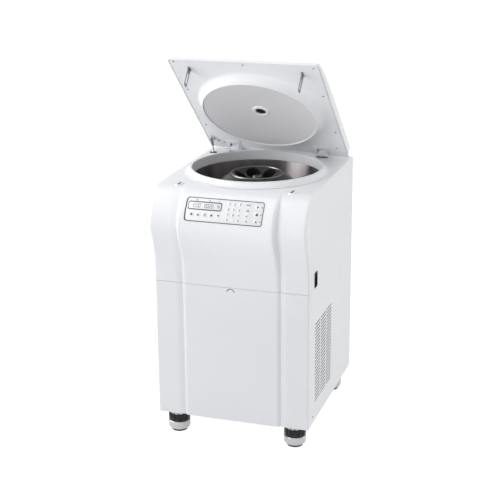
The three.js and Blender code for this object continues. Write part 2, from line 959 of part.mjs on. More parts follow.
// Rubber blocks on one thin ring carry the motor under its shelf.
function motorMounts() {
  const middle = (mountBottom + mountTop) / 2;
  const [inner, outer] = [mountCircleRadius - mountRadius / 2, mountCircleRadius + mountRadius / 2];
  const outline = [
    [inner, middle - mountWeb / 2],
    [outer, middle - mountWeb / 2],
    [outer, middle + mountWeb / 2],
    [inner, middle + mountWeb / 2],
  ];
  const parts = [turned(outline, midSides, [0, bowlY])];
  for (let i = 0; i < mountCount; i += 1) {
    const angle = (i / mountCount) * 2 * Math.PI + Math.PI / 2;
    const place = [mountCircleRadius * Math.cos(angle), bowlY + mountCircleRadius * Math.sin(angle)];
    parts.push(disc(mountRadius, mountBottom, mountTop, place, smallSides));
  }
  return joined(...parts);
}

function driveBoot() {
  const low = motorNeckTop + fit;
  const high = bowlFloorRise - bowlWall - fit;
  const middle = (low + high) / 2;
  const outline = [
    [bootInnerRadius, low],
    [motorNeckRadius, low],
    [(motorNeckRadius + bootInnerRadius) / 2, middle],
    [motorNeckRadius, high],
    [bootInnerRadius, high],
  ];
  return turned(outline, midSides, [0, bowlY]);
}

const shaftTop = rotorBottomRise + rotorSeatDepth;

function driveShaft() {
  const outline = [
    [0, motorBodyTop],
    [shaftRadius, motorBodyTop],
    [shaftRadius, rotorBottomRise - 2 * shaftRadius],
    [shaftConeRadius, rotorBottomRise - shaftRadius],
    [shaftConeRadius, rotorBottomRise],
    [shaftRadius, shaftTop],
    [0, shaftTop],
  ];
  return turned(outline, midSides, [0, bowlY]);
}

// The inner cone of the rotor, into which the pockets open.
function rotorConeHeight(radius) {
  const top = rotorMouthRadius - rotorRimWidth;
  const share = (top - radius) / (top - rotorHubRadius);
  return rotorTopRise - rotorFloorDepth * share;
}

function rotorPocket(index) {
  const tilt = degrees(pocketTiltDegrees);
  const turn = (index / pocketCount) * 2 * Math.PI;
  const geometry = new THREE.CylinderGeometry(pocketRadius, pocketRadius, 2 * pocketDepth, midSides);
  geometry.rotateX(Math.PI / 2).rotateY(-tilt);
  geometry.translate(pocketMouthRadius, 0, rotorConeHeight(pocketMouthRadius));
  return solid(geometry.rotateZ(turn).translate(0, bowlY, 0));
}

function rotorBody() {
  const hubTop = rotorConeHeight(rotorHubRadius);
  const outline = [
    [shaftRadius + fit, shaftTop],
    [shaftConeRadius + fit, rotorBottomRise],
    [rotorBaseRadius, rotorBottomRise],
    [rotorRadius * 0.94, rotorTopRise - rotorSkirtDrop],
    [rotorRadius, rotorTopRise - rotorSkirtDrop * 0.92],
    [rotorRadius, rotorTopRise - rotorShoulderDrop * 1.25],
    [rotorRadius * 0.97, rotorTopRise - rotorShoulderDrop],
    [rotorMouthRadius + rotorRimWidth / 2, rotorTopRise - rotorRimWidth / 2],
    [rotorMouthRadius, rotorTopRise],
    [rotorMouthRadius - rotorRimWidth, rotorTopRise],
    [rotorHubRadius, hubTop],
    [0, hubTop],
    [0, shaftTop + fit],
    [shaftRadius + fit, shaftTop + fit],
  ];
  const pockets = [];
  for (let i = 0; i < pocketCount; i += 1) pockets.push(rotorPocket(i));
  return cut(turned(outline, bigSides, [0, bowlY]), ...pockets);
}

function rotorNut() {
  const low = rotorConeHeight(rotorHubRadius) + fit;
  const outline = [
    [0, low],
    [nutFlangeRadius, low],
    [nutFlangeRadius, low + nutFlangeHeight],
    [nutRadius, low + nutFlangeHeight],
    [nutRadius, low + nutHeight * 0.85],
    [nutRadius * 0.8, low + nutHeight],
    [0, low + nutHeight],
  ];
  return turned(outline, midSides, [0, bowlY]);
}

// Refrigeration

const baseTop = floorThickness + fit;
const compressorY = cabinetDepth - compressorFromRear;
const compressorTop = baseTop + compressorHeight;
const stubTop = compressorTop + compressorStubHeight;

function compressor() {
  const crown = compressorRadius * 0.35;
  const outline = [
    [0, baseTop],
    [compressorFootRadius, baseTop],
    [compressorFootRadius, baseTop + compressorFootHeight],
    [compressorRadius, baseTop + compressorFootHeight],
    [compressorRadius, compressorTop - crown],
    [compressorRadius * 0.88, compressorTop - crown * 0.4],
    [compressorRadius * 0.6, compressorTop - crown * 0.1],
    [compressorStubRadius, compressorTop],
    [compressorStubRadius, stubTop],
    [0, stubTop],
  ];
  return turned(outline, midSides, [compressorX, compressorY]);
}

const condenserX = innerHalfWidth - condenserSideGap - condenserThickness;
const condenserRearY = condenserFrontY + condenserLength;
const condenserTop = baseTop + condenserHeight;
const shroudRight = condenserX - fit;
const shroudLeft = shroudRight - shroudDepth;
const fanY = condenserFrontY + condenserLength / 2;
const fanRise = baseTop + condenserHeight / 2;

// Upright grooves between bundles of fins on both faces.
function condenser() {
  const right = condenserX + condenserThickness;
  const body = block([condenserX, condenserFrontY, baseTop], [right, condenserRearY, condenserTop]);
  const pitch = condenserLength / (finCount + 1);
  const grooves = [];
  for (let i = 1; i <= finCount; i += 1) {
    const y = condenserFrontY + i * pitch;
    grooves.push(
      block(
        [right - finDepth, y - pitch / 4, baseTop + pitch],
        [right + overrun, y + pitch / 4, condenserTop - pitch],
      ),
    );
  }
  return cut(body, ...grooves);
}

function fanShroud() {
  const margin = shroudMargin;
  const body = block(
    [shroudLeft, condenserFrontY + margin, baseTop],
    [shroudRight, condenserRearY - margin, condenserTop - margin],
  );
  const axis = [fanY, fanRise];
  const bore = pin(fanRadius + fanTipGap, shroudLeft - overrun, shroudRight + overrun, axis, midSides);
  const reach = fanRadius + 2 * fanTipGap;
  const armHalf = fanArmWidth / 2;
  const arm = block(
    [shroudLeft, fanY - reach, fanRise - armHalf],
    [shroudLeft + fanArmDepth, fanY + reach, fanRise + armHalf],
  );
  const shaftHole = pin(fanShaftRadius + fit, shroudLeft - overrun, shroudRight, axis, smallSides);
  return cut(joined(cut(body, bore), arm), shaftHole);
}

// The fan turns on a shaft through the shroud's arm.
function condenserFan() {
  const left = shroudLeft + fanArmDepth + fit;
  const right = left + fanDepth;
  const parts = [
    pin(fanHubRadius, left, right, [fanY, fanRise], midSides),
    pin(fanShaftRadius, shroudLeft, left + fit, [fanY, fanRise], smallSides),
  ];
  for (let i = 0; i < fanBladeCount; i += 1) {
    const blade = new THREE.BoxGeometry(fanBladeThickness, fanHubRadius, fanRadius - fanHubRadius / 2);
    blade.rotateZ(degrees(fanBladeDegrees));
    blade.translate((left + right) / 2, 0, (fanRadius + fanHubRadius / 2) / 2);
    blade.rotateX((i / fanBladeCount) * 2 * Math.PI).translate(0, fanY, fanRise);
    parts.push(solid(blade));
  }
  return joined(...parts);
}

// The line leaves the compressor's stub, crosses the cabinet and ends on top of the condenser.
function refrigerantLine() {
  const endX = condenserX + condenserThickness / 2;
  const endY = condenserRearY - 4 * lineRadius;
  const high = condenserTop + lineRise;
  const curve = new THREE.CatmullRomCurve3([
    new THREE.Vector3(compressorX, compressorY, stubTop + fit),
    new THREE.Vector3(compressorX, compressorY, stubTop + 4 * lineRadius),
    new THREE.Vector3(compressorX + lineRise, compressorY, high),
    new THREE.Vector3(endX - lineRise, compressorY, high),
    new THREE.Vector3(endX, endY + lineRise, high),
    new THREE.Vector3(endX, endY, condenserTop + 4 * lineRadius),
    new THREE.Vector3(endX, endY, condenserTop + fit),
  ]);
  return pipe(curve, lineRadius, midSides, pipeSides);
}

// Electrics

const boxX = boxSideGap + boxWidth / 2 - innerHalfWidth;
const boxDepth = compressorY - compressorFootRadius - boxRearGap - boxFrontY;

function powerBox() {
  const rear = boxFrontY + boxDepth;
  const body = block(
    [boxX - boxWidth / 2, boxFrontY, baseTop],
    [boxX + boxWidth / 2, rear, baseTop + boxHeight],
  );
  const ribs = [];
  for (let y = boxFrontY + boxWidth / 4; y < rear - boxWidth / 4; y += boxWidth / 4) {
    ribs.push(
      block(
        [boxX + boxWidth / 2 - 2 * finDepth, y, baseTop + boxWidth / 2],
        [boxX + boxWidth / 2 + overrun, y + 2 * finDepth, baseTop + boxHeight + overrun],
      ),
    );
  }
  return cut(body, ...ribs);
}

function powerInlet() {
  const [halfX, halfZ] = [inletWidth / 2, inletHeight / 2];
  const rear = cabinetDepth + fit;
  const body = block(
    [inletX - halfX, rear - inletDepth, inletRise - halfZ],
    [inletX + halfX, rear, inletRise + halfZ],
  );
  const flange = block(
    [inletX - halfX - inletFlange, rear, inletRise - halfZ - inletFlange],
    [inletX + halfX + inletFlange, rear + inletFlangeThickness, inletRise + halfZ + inletFlange],
  );
  const socket = block(
    [inletX - halfX + inletWall, rear - inletDepth + 2 * inletWall, inletRise - halfZ + inletWall],
    [inletX + halfX - inletWall, rear + inletFlangeThickness + overrun, inletRise + halfZ - inletWall],
  );
  const halfPin = inletPinWidth / 2;
  const pins = [-1, 0, 1].map((place) => {
    const x = inletX + (place * inletWidth) / 5;
    return block(
      [x - halfPin, rear - inletDepth + inletWall, inletRise - halfZ / 4],
      [x + halfPin, rear - inletWall, inletRise + halfZ / 4],
    );
  });
  return joined(cut(joined(body, flange), socket), ...pins);
}

const switchRise = splitRise + switchAboveSplit;
const switchPocketY = switchWidth / 2 - switchFlange - switchWall;
const switchPocketZ = switchHeight / 2 - switchFlange - switchWall;
const rockerX = halfWidth;

function switchBezel() {
  const [halfY, halfZ] = [switchWidth / 2, switchHeight / 2];
  const left = halfWidth - switchDepth;
  const face = halfWidth + fit;
  const body = block(
    [left, switchY - halfY + switchFlange, switchRise - halfZ + switchFlange],
    [face, switchY + halfY - switchFlange, switchRise + halfZ - switchFlange],
  );
  const flange = block(
    [face, switchY - halfY, switchRise - halfZ],
    [face + switchFlangeThickness, switchY + halfY, switchRise + halfZ],
  );
  const pocket = block(
    [left + switchWall, switchY - switchPocketY, switchRise - switchPocketZ],
    [face + overrun, switchY + switchPocketY, switchRise + switchPocketZ],
  );
  return cut(joined(body, flange), pocket);
}

// The rocker has a face of two flats that meet at its middle, and is written tilted to one side.
function switchRocker() {
  const halfY = switchPocketY - rockerGap;
  const halfZ = switchPocketZ - rockerGap;
  const tilt = Math.tan(degrees(rockerTiltDegrees));
  const points = [
    [-2 * rockerPinDepth, -halfZ / 3],
    [rockerPinDepth / 3, -halfZ],
    [rockerProud + halfZ * tilt, -halfZ],
    [rockerProud, 0],
    [rockerProud + halfZ * tilt, halfZ],
    [rockerPinDepth / 3, halfZ],
    [-2 * rockerPinDepth, halfZ / 3],
  ];
  const shape = new THREE.Shape(points.map(([x, z]) => new THREE.Vector2(x, z)));
  const geometry = new THREE.ExtrudeGeometry(shape, { depth: 2 * halfY, bevelEnabled: false });
  geometry.rotateX(Math.PI / 2).translate(0, halfY, 0);
  const body = solid(geometry);
  const axleLength = 2 * (switchPocketY - fit);
  const axle = new THREE.CylinderGeometry(rockerPinRadius, rockerPinRadius, axleLength, pipeSides);
  return joined(body, solid(axle));
}

// Control panel: plates that follow the raised centre of the top cover

const raisedRows = withNormals(frontRows).map(({ y, z, ny, nz, raise }) => ({
  y: y + ny * raise,
  z: z + nz * raise,
  ny,
  nz,
}));

function raisedRowAt(height) {
  const below = raisedRows.findIndex((row) => row.z < height);
  const [a, b] = [raisedRows[below - 1], raisedRows[below]];
  const share = (a.z - height) / (a.z - b.z);
  const between = (key) => a[key] + (b[key] - a[key]) * share;
  return { y: between("y"), z: between("z"), ny: between("ny"), nz: between("nz") };
}

function frontPlate(left, right, low, high, inner, outer) {
  const middle = raisedRows.filter((row) => row.z < high && row.z > low);
  const rows = [raisedRowAt(high), ...middle, raisedRowAt(low)];
  const sides = [left, right];
  const ringAt = ({ y, z, ny, nz }, offset) => sides.map((x) => [x, y + ny * offset, z + nz * offset]);
  const front = rows.map((row) => ringAt(row, outer));
  const back = rows.map((row) => ringAt(row, inner)).reverse();
  return loft([...front, ...back]);
}

const plateLeft = plateLeftMargin - panelHalfWidth;
const plateRight = panelHalfWidth - plateRightMargin;
const plateHigh = deckRise - plateBelowDeck;
const plateLow = plateHigh - plateHeight;
const windowHigh = deckRise - windowBelowDeck;
const windowLow = windowHigh - windowHeight;
const boardHalfWidth = panelHalfWidth - boardSideMargin;
const plateOuter = fit + plateThickness;

function controlPanel() {
  return frontPlate(plateLeft, plateRight, plateLow, plateHigh, fit, plateOuter);
}

function displayWindow() {
  const left = plateLeft + windowMargin;
  const seat = plateOuter + fit;
  return frontPlate(left, left + windowWidth, windowLow, windowHigh, seat, seat + windowThickness);
}

// The board stands off the cover's inner face on four pillars cut to its curve.
function controlBoard() {
  const face = postFrontY - boardRailGap - boardThickness;
  const rear = face + boardThickness;
  const parts = [block([-boardHalfWidth, face, plateLow], [boardHalfWidth, rear, plateHigh])];
  const length = bulgeDepth + panelRaise;
  for (const x of [-boardHalfWidth + standoffMargin, boardHalfWidth - standoffMargin]) {
    for (const z of [plateLow + standoffMargin, plateHigh - standoffMargin]) {
      const pillar = new THREE.CylinderGeometry(standoffRadius, standoffRadius, length, pipeSides);
      parts.push(solid(pillar.translate(x, face - (length - boardThickness) / 2, z)));
    }
  }
  return joined(...parts).intersect(topBlock(coverWall + fit, overrun));
}

// Latches

const boltLow = lidUnderside - strikerLength + strikerBridge + boltLift;
const boltStart = strikerX + strikerThickness / 2 + latchCaseGap;

function latchCase(side) {
  const left = boltStart;
  const right = railHalfLength;
  const low = boltLow - (latchCaseHeight - boltHeight) / 2;
  const rear = strikerY + latchCaseBehind;
  const front = postFrontY + frontRailDepth + fit;
  const body = block([left, front, low], [right, rear, low + latchCaseHeight]);
  const bore = block(
    [left - overrun, strikerY - boltWidth / 2 - boltPlay, boltLow - boltPlay],
    [left + boltLength + boltPlay, strikerY + boltWidth / 2 + boltPlay, boltLow + boltHeight + boltPlay],
  );
  const made = cut(body, bore);
  return side > 0 ? made : made.mirror([1, 0, 0]);
}

function latchBolt(side) {
  const low = [boltStart + boltPlay / 2, strikerY - boltWidth / 2, boltLow];
  const high = [low[0] + boltLength, strikerY + boltWidth / 2, boltLow + boltHeight];
  const made = block(low, high);
  return side > 0 ? made : made.mirror([1, 0, 0]);
}

// Lid, written closed

// Stations along the lid from its rear to its free edge, as shares of its length and of its height.
const lidStationShares = [
  [0, 0.8],
  [0.006, 0.94],
  [0.02, 1],
  [0.43, 1],
  [0.69, 0.913],
  [0.8, 0.82],
  [0.9, 0.675],
  [0.96, 0.5],
  [0.98, 0.42],
  [0.994, 0.3],
  [1, 0.2],
];

// The whole lid as one body, drawn in by inset. Its underside is flat and its other edges are round.
function lidBlock(inset, spare) {
  const sections = lidStationShares.map(([along, up]) => {
    const reach = along * lidLength;
    const toEnd = Math.min(lidCornerRadius, reach, lidLength - reach);
    const narrowing = lidCornerRadius - Math.sqrt(lidCornerRadius ** 2 - (lidCornerRadius - toEnd) ** 2);
    const half = lidWidth / 2 - narrowing - inset;
    const top = up * lidHeight - inset;
    const radius = Math.min(lidCornerRadius, 0.8 * up * lidHeight) - inset;
    const place = Math.min(Math.max(reach, inset), lidLength - inset) - lidRearY;
    const right = cornerStepShares.map((share) => {
      const angle = (share * Math.PI) / 2;
      return [half - radius * (1 - Math.sin(angle)), top - radius * (1 - Math.cos(angle))];
    });
    right.push([half, -spare]);
    const left = right.map(([x, z]) => [-x, z]).reverse();
    return [...left, ...right].map(([x, z]) => [place, x, lidUnderside + z]);
  });
  const rings = sections[0].map((_, i) => sections.map((section) => section[i]));
  return loft(rings.reverse()).rotate([0, 0, -90]);
}

const dishY = bowlY;
const plugFootRadius = mouthRadius - plugGap;
const plugRimRadius = plugFootRadius - plugTaper;

function lidShell() {
  const notches = hingePlaces.map((x) =>
    block(
      [x - hingePocketWidth / 2, lidRearY - lidWall - overrun, lidUnderside - overrun],
      [x + hingePocketWidth / 2, lidRearY + overrun, lidUnderside + hingeNotchHeight],
    ),
  );
  const port = disc(
    portRadius + portWall + fit,
    lidUnderside,
    lidUnderside + lidHeight + overrun,
    [0, dishY],
    midSides,
  );
  return cut(lidBlock(0, 0), lidBlock(lidWall, overrun), ...notches, port);
}

// The liner is a flat plate with a ring that drops into the bowl's mouth.
function lidLiner() {
  const side = lidWidth / 2 - lidWall - fit;
  const front = lidRearY - lidLength + lidWall + fit;
  const rear = lidRearY - lidWall - fit;
  const top = lidUnderside + linerThickness;
  const room = lidBlock(lidWall + fit, overrun);
  const slab = block([-side, front, lidUnderside], [side, rear, top]).intersect(room);
  const hole = disc(plugFootRadius - plugWall, lidUnderside - overrun, top + overrun, [0, dishY], bigSides);
  const slope = plugFootRadius - plugRimRadius;
  const rimLow = lidUnderside - plugDepth;
  const outline = [
    [plugFootRadius - plugWall - fit, top],
    [plugRimRadius + slope * 0.25 - plugWall, lidUnderside - plugDepth * 0.5],
    [plugRimRadius - plugWall, rimLow + 2 * plugWall],
    [plugRimRadius - plugRimWidth, rimLow + 2 * plugWall],
    [plugRimRadius - plugRimWidth, rimLow],
    [plugRimRadius - plugRimWidth / 2, rimLow],
    [plugRimRadius, rimLow + plugRimWidth / 2],
    [plugRimRadius + slope * 0.25, lidUnderside - plugDepth * 0.55],
    [plugRimRadius + slope * 0.65, lidUnderside - plugDepth * 0.2],
    [plugFootRadius, lidUnderside],
    [plugFootRadius + fit, top],
  ];
  const ring = turned(outline, bigSides, [0, dishY]);
  const pockets = hingePlaces.map((x) =>
    block(
      [x - hingePocketWidth / 2, lidRearY - hingePocketLength, lidUnderside - overrun],
      [x + hingePocketWidth / 2, lidRearY + overrun, top + overrun],
    ),
  );
  return joined(cut(slab, hole, ...pockets), ring);
}

// A shallow spherical cap: deepest at the rim, with a hole for the sight port.
function lidDish() {
  const rimRadius = plugRimRadius - plugRimWidth - fit;
  const rimDepth = plugDepth - plugRimWidth;
  const rise = rimDepth - dishCentreDepth;
  const inner = portRadius + portWall + fit;
  const under = [];
  const over = [];
  for (const share of [1, 0.8, 0.55, 0.3, 0]) {
    const radius = inner + (rimRadius - inner) * share;
    const depth = dishCentreDepth + rise * (radius / rimRadius) ** 2;
    under.push([radius, lidUnderside - depth]);
    over.unshift([radius, lidUnderside - depth + dishThickness]);
  }
  return turned([...under.reverse(), ...over.reverse()], bigSides, [0, dishY]);
}

const portLow = lidUnderside - dishCentreDepth - portFlangeHeight;

const portTop = lidUnderside + lidHeight;

function sightPort() {
  const seat = lidUnderside - dishCentreDepth - 2 * fit;
  const outline = [
    [portRadius, portLow],
    [portFlangeRadius - portWall, portLow],
    [portFlangeRadius, portLow + portFlangeHeight / 2],
    [portFlangeRadius, seat - fit],
    [portRadius + portWall, seat - fit],
    [portRadius + portWall, portTop],
    [portRadius, portTop],
  ];
  return turned(outline, midSides, [0, dishY]);
}

function sightGlass() {
  const low = portLow + portFlangeHeight;
  return disc(portRadius - fit, low, low + portGlassThickness, [0, dishY], midSides);
}

function hingeLeaf(x) {
  const plateTop = lidUnderside + lidHeight - lidWall - fit;
  const plateLow = plateTop - leafThickness;
  const lugOffset = earWidth / 2 + fit;
  const side = lugOffset + lugThickness + leafSideMargin;
  const rear = lidRearY - lidWall - 2 * overrun;
  const parts = [block([x - side, rear - leafLength, plateLow], [x + side, rear, plateTop])];
  for (const left of [x - lugOffset - lugThickness, x + lugOffset]) {
    const web = sidePlate(
      [
        [hingeY - lugRadius, hingeRise],
        [hingeY + lugRadius, hingeRise],
        [hingeY + lugRadius, plateLow + fit],
        [hingeY - lugRadius, plateLow + fit],
      ],
      left,
      left + lugThickness,
    );
    parts.push(web, pin(lugRadius, left, left + lugThickness, [hingeY, hingeRise], smallSides));
  }
  const reach = lugOffset + lugThickness;
  parts.push(pin(hingePinRadius, x - reach, x + reach, [hingeY, hingeRise], smallSides));
  return joined(...parts);
}

// A plate that stands across the slot in the deck, with a long opening for the bolt.
function striker(x) {
  const top = lidUnderside - fit;
  const low = lidUnderside - strikerLength;
  const half = strikerThickness / 2;
  const footLow = top - strikerFootThickness;
  const body = block(
    [x - half, strikerY - strikerWidth / 2, low],
    [x + half, strikerY + strikerWidth / 2, top],
  );
  const foot = block(
    [x - strikerFootWidth / 2, strikerY - strikerFootLength / 2, footLow],
    [x + strikerFootWidth / 2, strikerY + strikerFootLength / 2, top],
  );
  const slotLow = low + strikerBridge;
  const slot = block(
    [x - strikerFootWidth, strikerY - strikerSlotWidth / 2, slotLow],
    [x + strikerFootWidth, strikerY + strikerSlotWidth / 2, slotLow + strikerSlotLength],
  );
  return cut(joined(body, foot), slot);
}

// Gas strut

const strutTopY = lidRearY - strutTopFromRear;
const strutTopRise = lidUnderside - strutTopBelowLid;
const strutBottomY = cabinetDepth - strutBottomFromRear;
const strutBottomRise = deckRise - strutBottomBelowDeck;

// The bracket under the lid holds the pin of the rod's eye.
function strutBracket() {
  const top = lidUnderside - fit;
  const right = strutX + strutEyeWidth / 2 + fit + bracketThickness;
  const foot = block(
    [right - bracketWidth, strutTopY - bracketLength / 2, top - bracketThickness / 2],
    [right, strutTopY + bracketLength / 2, top],
  );
  const cheek = block(
    [right - bracketThickness, strutTopY - strutEyeRadius, strutTopRise],
    [right, strutTopY + strutEyeRadius, top],
  );
  const boss = pin(strutEyeRadius, right - bracketThickness, right, [strutTopY, strutTopRise], smallSides);
  const axle = pin(
    strutPinRadius,
    strutX - strutEyeWidth / 2,
    right - fit,
    [strutTopY, strutTopRise],
    smallSides,
  );
  return joined(foot, cheek, boss, axle);
}

// Rod and tube are written along -Z from the upper pivot.
function strutRod() {
  const half = strutEyeWidth / 2;
  const eye = pin(strutEyeRadius, -half, half, [0, 0], smallSides);
  const bar = disc(strutRodRadius, -strutRodLength, 0, [0, 0], smallSides);
  const bore = pin(strutPinRadius + fit, -strutEyeWidth, strutEyeWidth, [0, 0], smallSides);
  return cut(joined(eye, bar), bore);
}

function strutTube(length) {
  const half = strutEyeWidth / 2;
  const high = -length + strutTubeLength;
  const low = -length + strutLowerEyeRadius / 2;
  const tube = disc(strutTubeRadius, low, high, [0, 0], smallSides);
  const bore = disc(strutTubeBore, low + strutTubeFloor, high + overrun, [0, 0], smallSides);
  const eye = pin(strutLowerEyeRadius, -half, half, [0, -length], smallSides);
  const reach = strutTubeRadius + overrun;
  const hole = pin(strutLowerEyeBore, -reach, reach, [0, -length], smallSides);
  return cut(joined(cut(tube, bore), eye), hole);
}

// A plate welded to the rear left post, with the lower pin. The pin is loose in the strut's eye.
function strutAnchor() {
  const rear = postRearY;
  const half = strutPlateSize / 2;
  const left = -innerHalfWidth;
  const right = strutX - strutTubeRadius - 2 * strutPinRadius;
  const wall = block(
    [left, rear - strutPlateThickness, strutBottomRise - half],
    [strutX - strutEyeWidth, rear, strutBottomRise + half],
  );
  const arm = block(
    [right - strutPlateThickness, strutBottomY - strutPinRadius, strutBottomRise - strutPinRadius],
    [right, rear, strutBottomRise + strutPinRadius],
  );
  const axle = pin(
    strutLowerPinRadius,
    right - strutPlateThickness,
    strutX + strutEyeWidth / 2,
    [strutBottomY, strutBottomRise],
    smallSides,
  );
  return joined(wall, arm, axle);
}

// Feet

const footBase = -footHeight;
const ringTop = -fit - footFlangeHeight - fit;
const ringLow = ringTop - ringHeight;

function footCup([x, y]) {
  const cupTop = ringLow - fit;
  const outline = [
    [0, footBase],
    [footPadRadius, footBase],
    [footPadRadius, footBase + padHeight],
    [footRadius, footBase + padHeight + cupTaperHeight],
    [footRadius, cupTop],
    [footNeckRadius, cupTop],
    [footNeckRadius, ringTop + fit],
    [footFlangeRadius, ringTop + fit],
    [footFlangeRadius, -fit],
    [stemRadius, -fit],
    [stemRadius, floorThickness + stemAbovePlate],
    [0, floorThickness + stemAbovePlate],
  ];
  return turned(outline, midSides, [x, y]);
}

function footRing([x, y]) {
  const outline = [
    [footNeckRadius + fit, ringLow],
    [ringRadius, ringLow],
    [ringRadius, ringTop],
    [footNeckRadius + fit, ringTop],
  ];
  const middle = (ringLow + ringTop) / 2;
  const recesses = [];
  const depth = 2 * ringRecessDepth;
  for (let i = 0; i < ringRecesses; i += 1) {
    const cutter = new THREE.CylinderGeometry(ringRecessRadius, ringRecessRadius, depth, pipeSides);
    cutter.translate(0, -ringRadius, middle).rotateZ((i / ringRecesses) * 2 * Math.PI);
    recesses.push(solid(cutter.translate(x, y, 0)));
  }
  return cut(turned(outline, midSides, [x, y]), ...recesses);
}

// Finishes

function finish(color, roughness, metalness) {
  return new THREE.MeshStandardMaterial({ color, roughness, metalness });
}

const whiteCoat = [0xe9eaee, 0.45, 0.1];
const whitePlastic = [0xeceef2, 0.5, 0];
const lightLiner = [0xe2e3e7, 0.5, 0];
const dishGrey = [0xb4b6ba, 0.45, 0.2];
const steel = [0xb8babd, 0.35, 0.9];
const darkSteel = [0x55585c, 0.4, 0.9];
const zincPlate = [0x9c9ea2, 0.5, 0.6];
const copper = [0xb87848, 0.35, 0.9];
const foam = [0xd8d2c2, 0.9, 0];
const black = [0x141416, 0.5, 0];
const rubber = [0x1c1c1e, 0.85, 0];
const boardGreen = [0x1f5a3a, 0.5, 0];
const rotorBlack = [0x232327, 0.35, 0.5];
const glassBlue = [0x9fb4bc, 0.1, 0];
const panelGrey = [0xf0f1f3, 0.5, 0];

function addPiece(group, name, body, look) {
  const mesh = new THREE.Mesh(geometryOf(body), finish(...look));
  mesh.name = name;
  group.add(mesh);
  return mesh;
}

// Assembly

const cabinet = new THREE.Group();
addPiece(cabinet, "base_plate", basePlate(), zincPlate);
addPiece(cabinet, "corner_post_front_left", cornerPost(-1, postFrontY, frontFrameTop), zincPlate);
addPiece(cabinet, "corner_post_front_right", cornerPost(1, postFrontY, frontFrameTop), zincPlate);
const anchoredPost = joined(cornerPost(-1, postRearY, frameTop), strutAnchor());
addPiece(cabinet, "corner_post_rear_left", anchoredPost, zincPlate);
addPiece(cabinet, "corner_post_rear_right", cornerPost(1, postRearY, frameTop), zincPlate);
addPiece(cabinet, "front_top_rail", frontTopRail(), zincPlate);
addPiece(cabinet, "hinge_beam", hingeBeam(), zincPlate);
addPiece(cabinet, "motor_shelf", motorShelf(), zincPlate);
addPiece(cabinet, "left_side_panel", sidePanel(-1), whiteCoat);
addPiece(cabinet, "right_side_panel", rightSidePanel(), whiteCoat);
addPiece(cabinet, "rear_panel", rearPanel(), whiteCoat);
addPiece(cabinet, "top_cover", topCover(), whitePlastic);
addPiece(cabinet, "lower_front_cover", lowerFrontCover(), whitePlastic);
addPiece(cabinet, "bowl_collar", bowlCollar(), whitePlastic);
addPiece(cabinet, "chamber_bowl", chamberBowl(), steel);
addPiece(cabinet, "evaporator_coil", evaporatorCoil(), copper);
addPiece(cabinet, "insulation_jacket", insulationJacket(), foam);
addPiece(cabinet, "guard_ring", guardRing(), darkSteel);
addPiece(cabinet, "motor_housing", motorHousing(), darkSteel);
addPiece(cabinet, "drive_boot", driveBoot(), rubber);
addPiece(cabinet, "compressor", compressor(), black);
addPiece(cabinet, "condenser", condenser(), steel);
addPiece(cabinet, "fan_shroud", fanShroud(), black);
addPiece(cabinet, "refrigerant_line", refrigerantLine(), copper);
addPiece(cabinet, "power_box", powerBox(), zincPlate);
addPiece(cabinet, "power_inlet", powerInlet(), black);
addPiece(cabinet, "switch_bezel", switchBezel(), black);
addPiece(cabinet, "control_panel", controlPanel(), panelGrey);
addPiece(cabinet, "display_window", displayWindow(), glassBlue);
addPiece(cabinet, "control_board", controlBoard(), boardGreen);
addPiece(cabinet, "latch_case_left", latchCase(-1), darkSteel);
addPiece(cabinet, "latch_case_right", latchCase(1), darkSteel);
addPiece(cabinet, "latch_bolt_left", latchBolt(-1), steel);
addPiece(cabinet, "latch_bolt_right", latchBolt(1), steel);
addPiece(cabinet, "drive_shaft", driveShaft(), steel);
addPiece(cabinet, "rotor_body", rotorBody(), rotorBlack);
addPiece(cabinet, "rotor_nut", rotorNut(), darkSteel);
addPiece(cabinet, "condenser_fan", condenserFan(), black);
addPiece(cabinet, "motor_mounts", motorMounts(), rubber);
footPlaces.forEach((place, i) => {
  addPiece(cabinet, `foot_cup_${footNames[i]}`, footCup(place), zincPlate);
  addPiece(cabinet, `foot_ring_${footNames[i]}`, footRing(place), black);
});

const rocker = addPiece(cabinet, "switch_rocker", switchRocker(), black);
rocker.position.set(rockerX, switchY, switchRise);
rocker.rotation.y = degrees(rockerTiltDegrees);

// The lid group turns about the hinge pins. Its pieces are written at their closed places.
const lid = new THREE.Group();
lid.position.set(0, hingeY, hingeRise);
lid.rotation.x = -degrees(lidOpenDegrees);
cabinet.add(lid);
const lidPieces = [
  ["lid_shell", lidShell(), whitePlastic],
  ["lid_liner", lidLiner(), lightLiner],
  ["lid_dish", lidDish(), dishGrey],
  ["sight_port", sightPort(), whitePlastic],
  ["sight_glass", sightGlass(), glassBlue],
  ["hinge_leaf_left", hingeLeaf(-hingeX), steel],
  ["hinge_leaf_right", hingeLeaf(hingeX), steel],
  ["striker_left", striker(-strikerX), steel],
  ["striker_right", striker(strikerX), steel],
  ["strut_bracket", strutBracket(), darkSteel],
];
for (const [name, body, look] of lidPieces) {
  addPiece(lid, name, body, look).position.set(0, -hingeY, -hingeRise);
}

// The strut hangs from the open lid's pin and points at the anchor's pin.
const strutTop = new THREE.Vector3(strutX, strutTopY - hingeY, strutTopRise - hingeRise)
  .setX(0)
  .applyAxisAngle(new THREE.Vector3(1, 0, 0), -degrees(lidOpenDegrees))
  .add(new THREE.Vector3(strutX, hingeY, hingeRise));
const strutReach = new THREE.Vector3(strutX, strutBottomY, strutBottomRise).sub(strutTop);
const strut = new THREE.Group();
strut.position.copy(strutTop);
strut.rotation.x = Math.atan2(strutReach.y, -strutReach.z);
cabinet.add(strut);
addPiece(strut, "strut_rod", strutRod(), darkSteel);
addPiece(strut, "strut_tube", strutTube(strutReach.length()), black);

const machine = new THREE.Group();
const frontReach = Math.max(...withNormals(frontRows).map((row) => -row.y - row.ny * row.raise));
cabinet.position.set(0, (frontReach - cabinetDepth) / 2, footHeight);
machine.add(cabinet);

